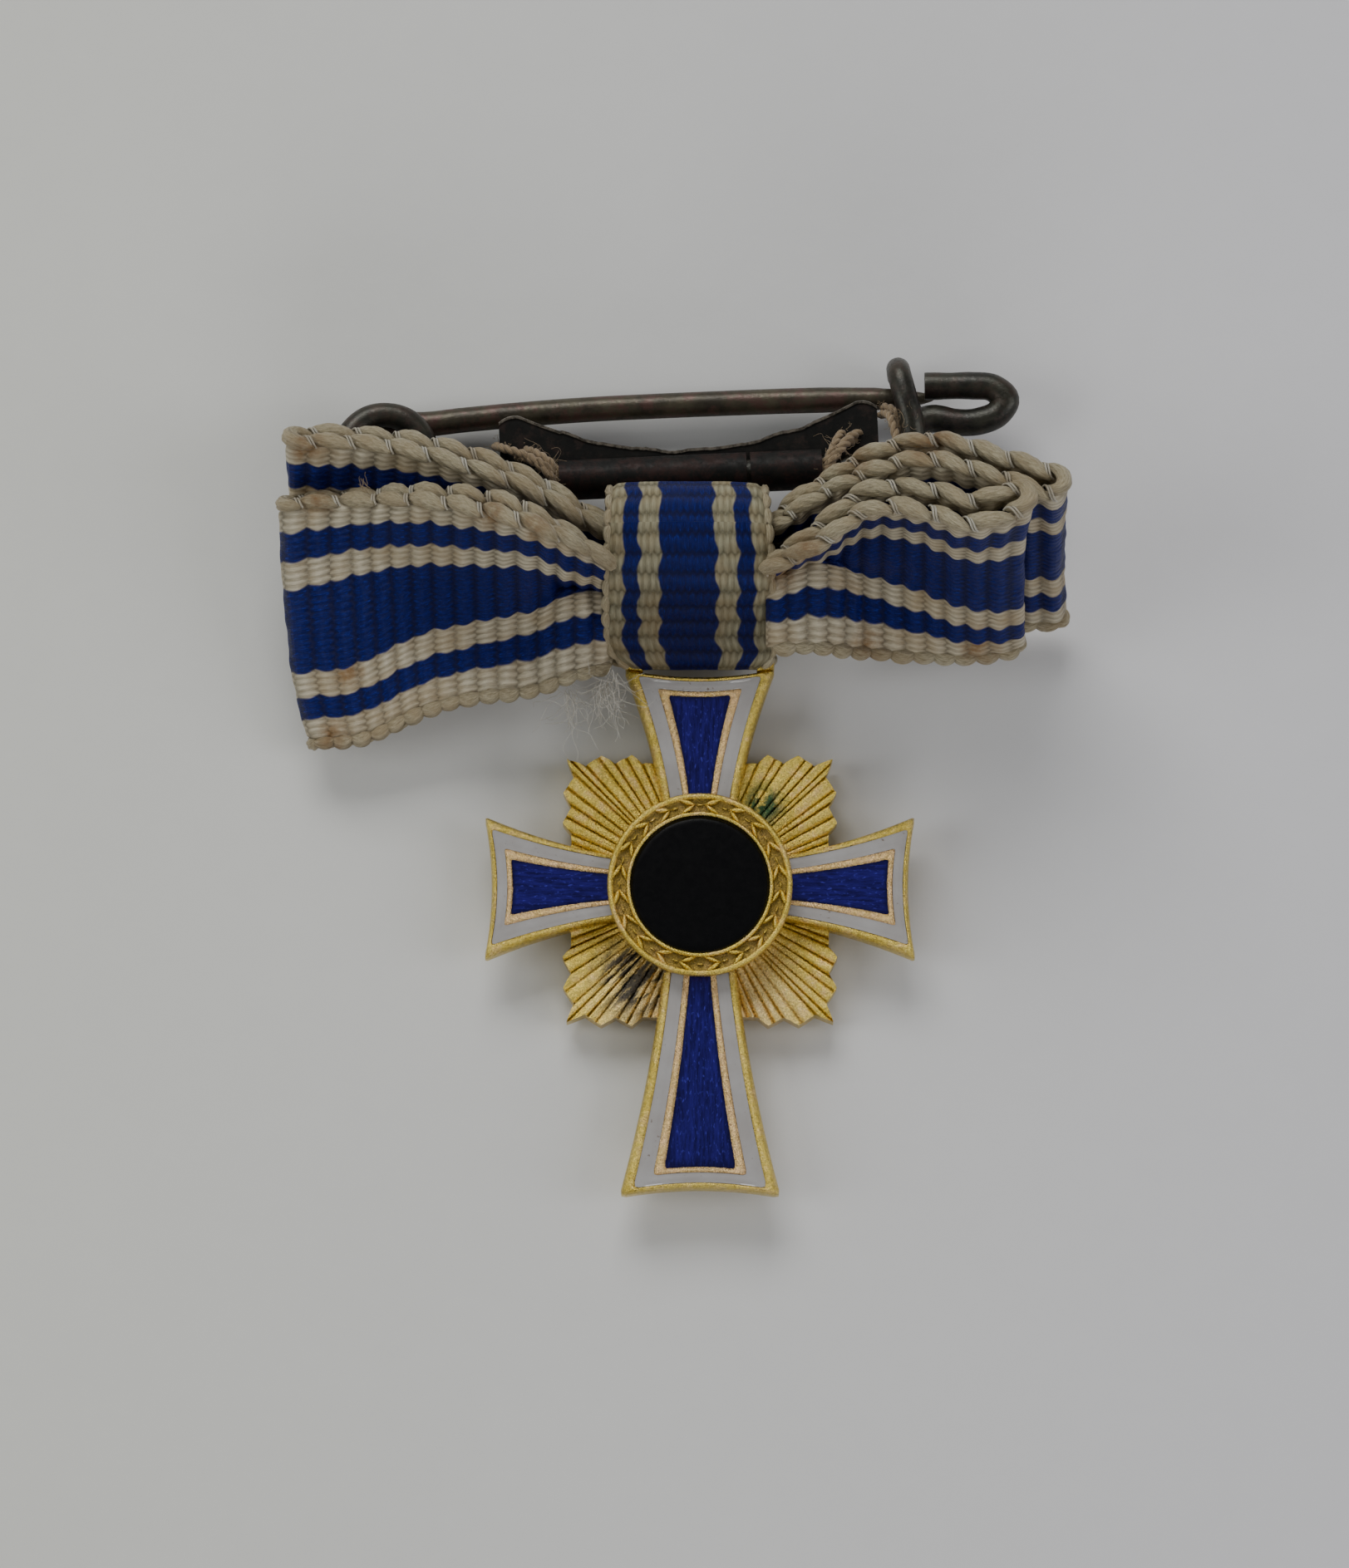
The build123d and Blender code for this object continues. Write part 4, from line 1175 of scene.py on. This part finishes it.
def make_knot():
    line = knot_line(0.15)
    share = np.linspace(0, 1, 64)
    strip = np.empty((len(line), len(share), 3))
    strip[..., 0] = knot_places(line, share)
    strip[..., 1:] = line[:, None]
    swell = 0.12 * np.clip((line[:, 0] - 10.0) / 2.0, 0, 1)
    crown = swell[:, None] * (1 - (2 * share[None] - 1) ** 4) - 0.08
    strip[..., 1:] += unit(line - KNOT_MIDDLE)[:, None] * crown[..., None]
    way = lengths(line)
    knot = Piece()
    normal = cloth(knot, strip, way, 0.15, KNOT_WIDTH, 0.04, KNOT_RIB)
    for column in (0, -1):
        selvage(knot, strip, way, normal, column, KNOT_RIB, 0.17, 0.15)
    look = [KNOT_RIBBON, *RIBBON_LOOK]
    knot.make("knot_ribbon", "bow", look, ["knot_wrap"], sharp=80)


def make_gather():
    """The bow's pleated middle, inside the knot."""
    ring = knot_line(0.42, 240)
    ring = ring[ring[:, 0] > 10.6]
    places = np.linspace(-3.0, 2.6, 50)
    pleat = 0.10 * np.sin(np.arange(len(ring)) * 2 * np.pi / 16)[:, None]
    points = np.empty((len(ring), len(places), 3))
    points[..., 0] = places
    points[..., 1:] = ring[:, None] + unit(ring - KNOT_MIDDLE)[:, None] * pleat[..., None]
    uv = np.stack(np.meshgrid(lengths(ring), places + 5, indexing="ij"), -1)[..., ::-1]
    core = Piece()
    core.cap_sides(core.grid(points, uv, close_rows=True))
    core.make("bow_gather", "bow", [BOW_RIBBON], ["bow_core"], sharp=80)


# --- brooch pin --------------------------------------------------------------------------------
PIN_LEAN = math.radians(2.6)  # how far the brooch's bar and plate lean from level
PIN_SLOPE = math.tan(PIN_LEAN)
PIN_Y = 15.89  # the bar's y at the coil's centre
PIN_Z = 2.65
WIRE_R = 0.5
COIL_CENTRE = (-12.45, 17.36)
COIL_TURN = 1.62
COIL_RISE = 1.1  # from one turn to the next
END_LOOP_Z = 2.12
END_LOOP = [  # across and up, as seen
    (9.1, 18.42),
    (10.0, 18.28),
    (11.0, 18.33),
    (11.75, 18.66),
    (12.02, 19.15),
    (11.55, 19.62),
    (10.7, 19.72),
    (9.7, 19.71),
    (8.84, 19.70),
]
HOOK = [  # across and up as seen, and height
    (8.42, 17.6, 3.0),
    (8.30, 18.5, 3.2),
    (8.05, 19.4, 3.25),
    (7.85, 20.14, 3.0),
    (7.80, 20.36, 2.4),
    (7.79, 20.30, 1.6),
    (7.80, 20.05, 0.75),
]
NEEDLE_Z = 1.0
NEEDLE_ROOT = math.radians(114)  # the place on the coil's turn that the needle comes from
NEEDLE_LINE = [  # across and up, as seen
    (-11.0, 18.20),
    (-9.3, 18.37),
    (-7.2, 18.57),
    (-4.6, 18.77),
    (-1.4, 18.93),
    (1.0, 19.03),
    (3.5, 19.12),
    (6.5, 19.19),
    (9.25, 19.23),
]
NEEDLE_TAPER = ((0.0, 0.15, 0.5, 1.2, 2.4, 4.5, 12.0), (0.04, 0.14, 0.24, 0.34, 0.46, 0.51, 0.50))


def bend(points, count):
    """A rounded line through a few points."""
    way = lengths(np.asarray(points, float))
    return smooth(way, points, np.linspace(0, way[-1], count))


def make_wire():
    """The coil, the bar along the top and the open loop past the hook, all one wire."""
    x, y = COIL_CENTRE
    turns = np.radians(np.linspace(100, 630, 120))
    height = 1.0 + COIL_RISE * (turns - math.radians(90)) / (2 * math.pi)
    coil = np.stack([x + COIL_TURN * np.cos(turns), y + COIL_TURN * np.sin(turns), height], -1)
    across = np.linspace(x + 1.2, 6.2, 40)
    bar = np.stack([across, PIN_Y + (across - x) * PIN_SLOPE, np.full(40, PIN_Z)], -1)
    loop = [
        (7.3, PIN_Y + 19.6 * PIN_SLOPE + 0.1, PIN_Z - 0.05),
        (8.0, PIN_Y + 20.2 * PIN_SLOPE + 0.75, PIN_Z - 0.3),
        seen(8.42, 18.15, 2.2),
    ]
    loop += [seen(across, up, END_LOOP_Z) for across, up in END_LOOP]
    whole = np.concatenate([coil, bar, np.array(loop)])
    way = lengths(whole)
    fine = resample(smooth(way, whole, np.linspace(0, way[-1], 900)), 0.09)[0]
    uneven = WIRE_R + 0.010 * np.sin(lengths(fine) * 1.7) + 0.007 * np.sin(lengths(fine) * 4.3)
    uneven += 0.05 * np.clip((fine[:, 0] - 7.5) / 1.5, 0, 1)
    wire = Piece()
    wire.tube(fine, uneven, 24)
    wire.make("brooch_wire", "bow", [WIRE], ["pin_base_wire"], sharp=50)


def make_hook():
    """The hook that comes up off the bar, turns away from the eye and holds the needle."""
    line = bend([seen(*place) for place in HOOK], 70)
    hook = Piece()
    hook.tube(line, 0.48 - 0.04 * np.linspace(0, 1, 70) ** 4, 24, up=(1, 0, 0))
    hook.make("brooch_hook", "bow", [WIRE], ["catch_hook"], sharp=50)


def make_needle():
    """The springy needle, slightly bowed, tapering to a point past the hook."""
    x, y = COIL_CENTRE
    path = [
        (x + COIL_TURN * math.cos(NEEDLE_ROOT), y + COIL_TURN * math.sin(NEEDLE_ROOT), NEEDLE_Z + 0.07),
        (x + 0.1, y + COIL_TURN - 0.06, NEEDLE_Z),
    ]
    path += [seen(across, up, NEEDLE_Z) for across, up in NEEDLE_LINE]
    line = bend(path, 170)
    left = lengths(line)[-1] - lengths(line)
    needle = Piece()
    needle.tube(line, np.interp(left, *NEEDLE_TAPER), 22)
    needle.make("brooch_needle", "needle", [NEEDLE], ["pin_needle"], sharp=50)


plate_low, plate_high = span("pin_plate")
PLATE_MIDDLE = (plate_low[0] + plate_high[0]) / 2
ROLL_START = (-12.25, 15.9)  # a point on the rolled edge's axis, level with the coil
PLATE_AXIS = ROLL_START[1] + (PLATE_MIDDLE - ROLL_START[0]) * PIN_SLOPE
PLATE_HALF = 7.5
PLATE_TOP = 19.05
PLATE_FRONT = PIN_Z - 0.53
PLATE_THICK = 0.30
ROLL_RADII = (0.80, 0.56)
ROLL_ENDS = ((-5.2, 2.22), (2.38, 5.2))  # the rolled edge is split in two
EDGE_SLOT = 1
ROLLED_SLOT = 2


def plate_points(x, y, z):
    """Points given for a level plate, x from its middle, leaned with the brooch's bar."""
    x, up, z = np.broadcast_arrays(x, y - PLATE_AXIS, z)
    c, s = math.cos(PIN_LEAN), math.sin(PIN_LEAN)
    return np.stack([PLATE_MIDDLE + x * c - up * s, PLATE_AXIS + x * s + up * c, z], -1)


def plate_sheet(plate):
    """The flat part: a hollow, slightly chipped upper edge, with a worn lip along it."""
    x = np.linspace(-PLATE_HALF, PLATE_HALF, 120)
    share = np.linspace(0, 1, 14)[:, None]
    hollow = 1.62 * np.clip(1 - (x / 6.7) ** 2, 0, 1)
    rounded = 0.25 * np.clip((np.abs(x) - 6.9) / 0.6, 0, 1) ** 2
    chipped = 0.03 * np.round(np.sin(x * 2.3) + np.sin(x * 3.7 + 1.0)) * (np.abs(x) < 5.0)
    top = PLATE_TOP - hollow - rounded + chipped
    y = PLATE_AXIS + (top - PLATE_AXIS) * share
    front = PLATE_FRONT + 0.22 * (x / PLATE_HALF) ** 2 + 0.10 * share
    outer = plate.grid(plate_points(x, y, front))
    inner = plate.grid(plate_points(x, y, front - PLATE_THICK), flip=True)
    lip = [(0.0, 0.0), (0.02, 0.06), (0.10, 0.07), (0.15, 0.0)]
    lip += [(0.15, 0.06 - PLATE_THICK), (0.0, -PLATE_THICK)]
    edge = [plate_points(x, top + out, front[-1] + rise) for out, rise in lip]
    plate.grid(np.array(edge), slot=EDGE_SLOT)
    for column in (0, -1):
        plate.cap([*outer[:, column], *inner[::-1, column]], EDGE_SLOT, flip=column == 0)
    plate.cap([*outer[0], *inner[0][::-1]])


def plate_roll(plate, start, end):
    """One stretch of the rolled edge, closed at its ends and along its seam."""
    x = np.linspace(start, end, 40)
    angle = np.radians(np.linspace(-100, 235, 36))[:, None]
    faces = [plate_points(x, PLATE_AXIS + r * np.cos(angle), PIN_Z + r * np.sin(angle)) for r in ROLL_RADII]
    outer = plate.grid(faces[0], slot=ROLLED_SLOT)
    inner = plate.grid(faces[1], slot=ROLLED_SLOT, flip=True)
    for column in (0, -1):
        plate.cap([*outer[:, column], *inner[::-1, column]], EDGE_SLOT, flip=column == 0)
    for row in (0, -1):
        plate.cap([*outer[row], *inner[row][::-1]], EDGE_SLOT, flip=row == -1)


def make_plate():
    plate = Piece()
    plate_sheet(plate)
    for start, end in ROLL_ENDS:
        plate_roll(plate, start, end)
    plate.make("backing_plate", "bow", [PLATE, EDGE, ROLLED], ["pin_plate"], sharp=40)


# --- thread and loose fibres -------------------------------------------------------------------
def twisted(piece, line, radius, pitch):
    """Two-ply thread along a line."""
    fine, way = resample(np.asarray(line, float), 0.07)
    along = unit(np.gradient(fine, axis=0))
    side = unit(np.cross(along, (0.3, 0.2, 1.0)))
    other = np.cross(along, side)
    for strand in (0, np.pi):
        turn = (2 * np.pi * way / pitch + strand)[:, None]
        off = (np.cos(turn) * side + np.sin(turn) * other) * radius * 0.38
        piece.tube(fine + off, radius * 0.72, 8)


STITCHES = {  # each strand as the places it is seen at: across, up, height
    "stitch_left": [
        [(-8.05, 17.35, 1.5), (-7.7, 17.25, 2.6), (-6.9, 17.0, 3.0), (-6.0, 16.5, 3.3), (-5.4, 15.9, 2.6)],
        [(-7.2, 16.9, 2.2), (-6.9, 16.9, 2.9), (-6.4, 16.65, 3.2), (-5.9, 16.2, 3.3), (-5.5, 15.7, 2.6)],
        [(-6.9, 17.2, 2.2), (-6.5, 17.1, 2.9), (-5.9, 16.7, 3.2), (-5.5, 16.2, 3.0)],
    ],
    "stitch_right": [
        [(6.3, 17.9, 2.2), (5.9, 17.7, 2.8), (5.45, 17.2, 3.2), (5.0, 16.5, 3.2), (4.9, 16.0, 2.6)],
        [(6.1, 17.6, 2.2), (5.7, 17.4, 3.0), (5.3, 16.9, 3.3), (4.8, 16.2, 3.0)],
        [(5.6, 17.9, 2.2), (5.4, 17.6, 2.8), (5.1, 17.0, 3.2), (4.7, 16.3, 3.0)],
    ],
    "stitch_end": [
        [(7.1, 18.6, 1.6), (7.45, 18.55, 2.5), (7.6, 18.2, 3.0), (7.7, 17.6, 3.1), (7.6, 17.0, 2.6)],
        [(7.2, 18.9, 1.6), (7.7, 18.7, 2.3), (7.9, 18.2, 2.6), (8.0, 17.5, 2.8), (7.9, 17.0, 2.6)],
    ],
}


def make_threads():
    for node, strands in STITCHES.items():
        piece = Piece()
        for strand in strands:
            twisted(piece, bend([seen(*place) for place in strand], 60), 0.17, 0.8)
        piece.make(node.replace("stitch", "thread"), "bow", [THREAD], [node], sharp=80)


def hairs(name, starts, direction, length, curl, radius, count, material):
    """A tuft of fine loose fibres."""
    piece = Piece()
    for _ in range(count):
        start = np.array(starts[RNG.integers(len(starts))]) + RNG.normal(0, 0.12, 3)
        heading = unit(np.array(direction, float) + RNG.normal(0, 0.35, 3))
        points = [start]
        reach = length * RNG.uniform(0.5, 1.2)
        for _ in range(7):
            heading = unit(heading + RNG.normal(0, curl, 3))
            points.append(points[-1] + heading * reach / 7)
        line = bend(points, 24)
        line[:, 2] = np.maximum(line[:, 2], 0.03)
        piece.tube(line, np.linspace(radius, radius * 0.6, 24), 5)
    piece.make(name, "bow", [material], sharp=80)


def make_fibres():
    fray = [from_view(x, up, -0.6) for x, up in ((-4.0, 7.9), (-5.2, 7.6), (-3.6, 8.1), (-3.4, 8.4))]
    hairs("frayed_edge", fray, (0.15, -1.0, -0.35), 2.4, 0.35, 0.012, 80, HAIR)
    tuft = [from_view(-13.1, 15.6, 1.0)]
    hairs("edge_tuft", tuft, (-0.3, 0.8, 0.4), 0.7, 0.2, 0.012, 8, THREAD)
    fuzz = [seen(8.1, 18.3, 3.3), seen(8.4, 17.9, 3.2), seen(7.8, 18.7, 3.4)]
    hairs("thread_fuzz", fuzz, (0.2, -0.5, 0.2), 1.3, 0.9, 0.010, 36, THREAD)
    wisps = [seen(-6.0, 16.4, 3.3), seen(5.3, 17.0, 3.3)]
    hairs("thread_wisps", wisps, (0.2, 0.3, 0.2), 1.5, 0.6, 0.011, 26, THREAD)
    strands = sum(STITCHES.values(), [])
    lint = [seen(*place) for strand in strands for place in strand]
    hairs("thread_lint", lint, (0.0, 0.0, 0.3), 0.6, 0.8, 0.010, 220, THREAD)


add_camera()
add_stage()
make_cross()
make_rays()
make_ring()
make_disc()
gild_cad_nodes()
make_loops()
make_knot()
make_gather()
make_wire()
make_hook()
make_needle()
make_plate()
make_threads()
make_fibres()
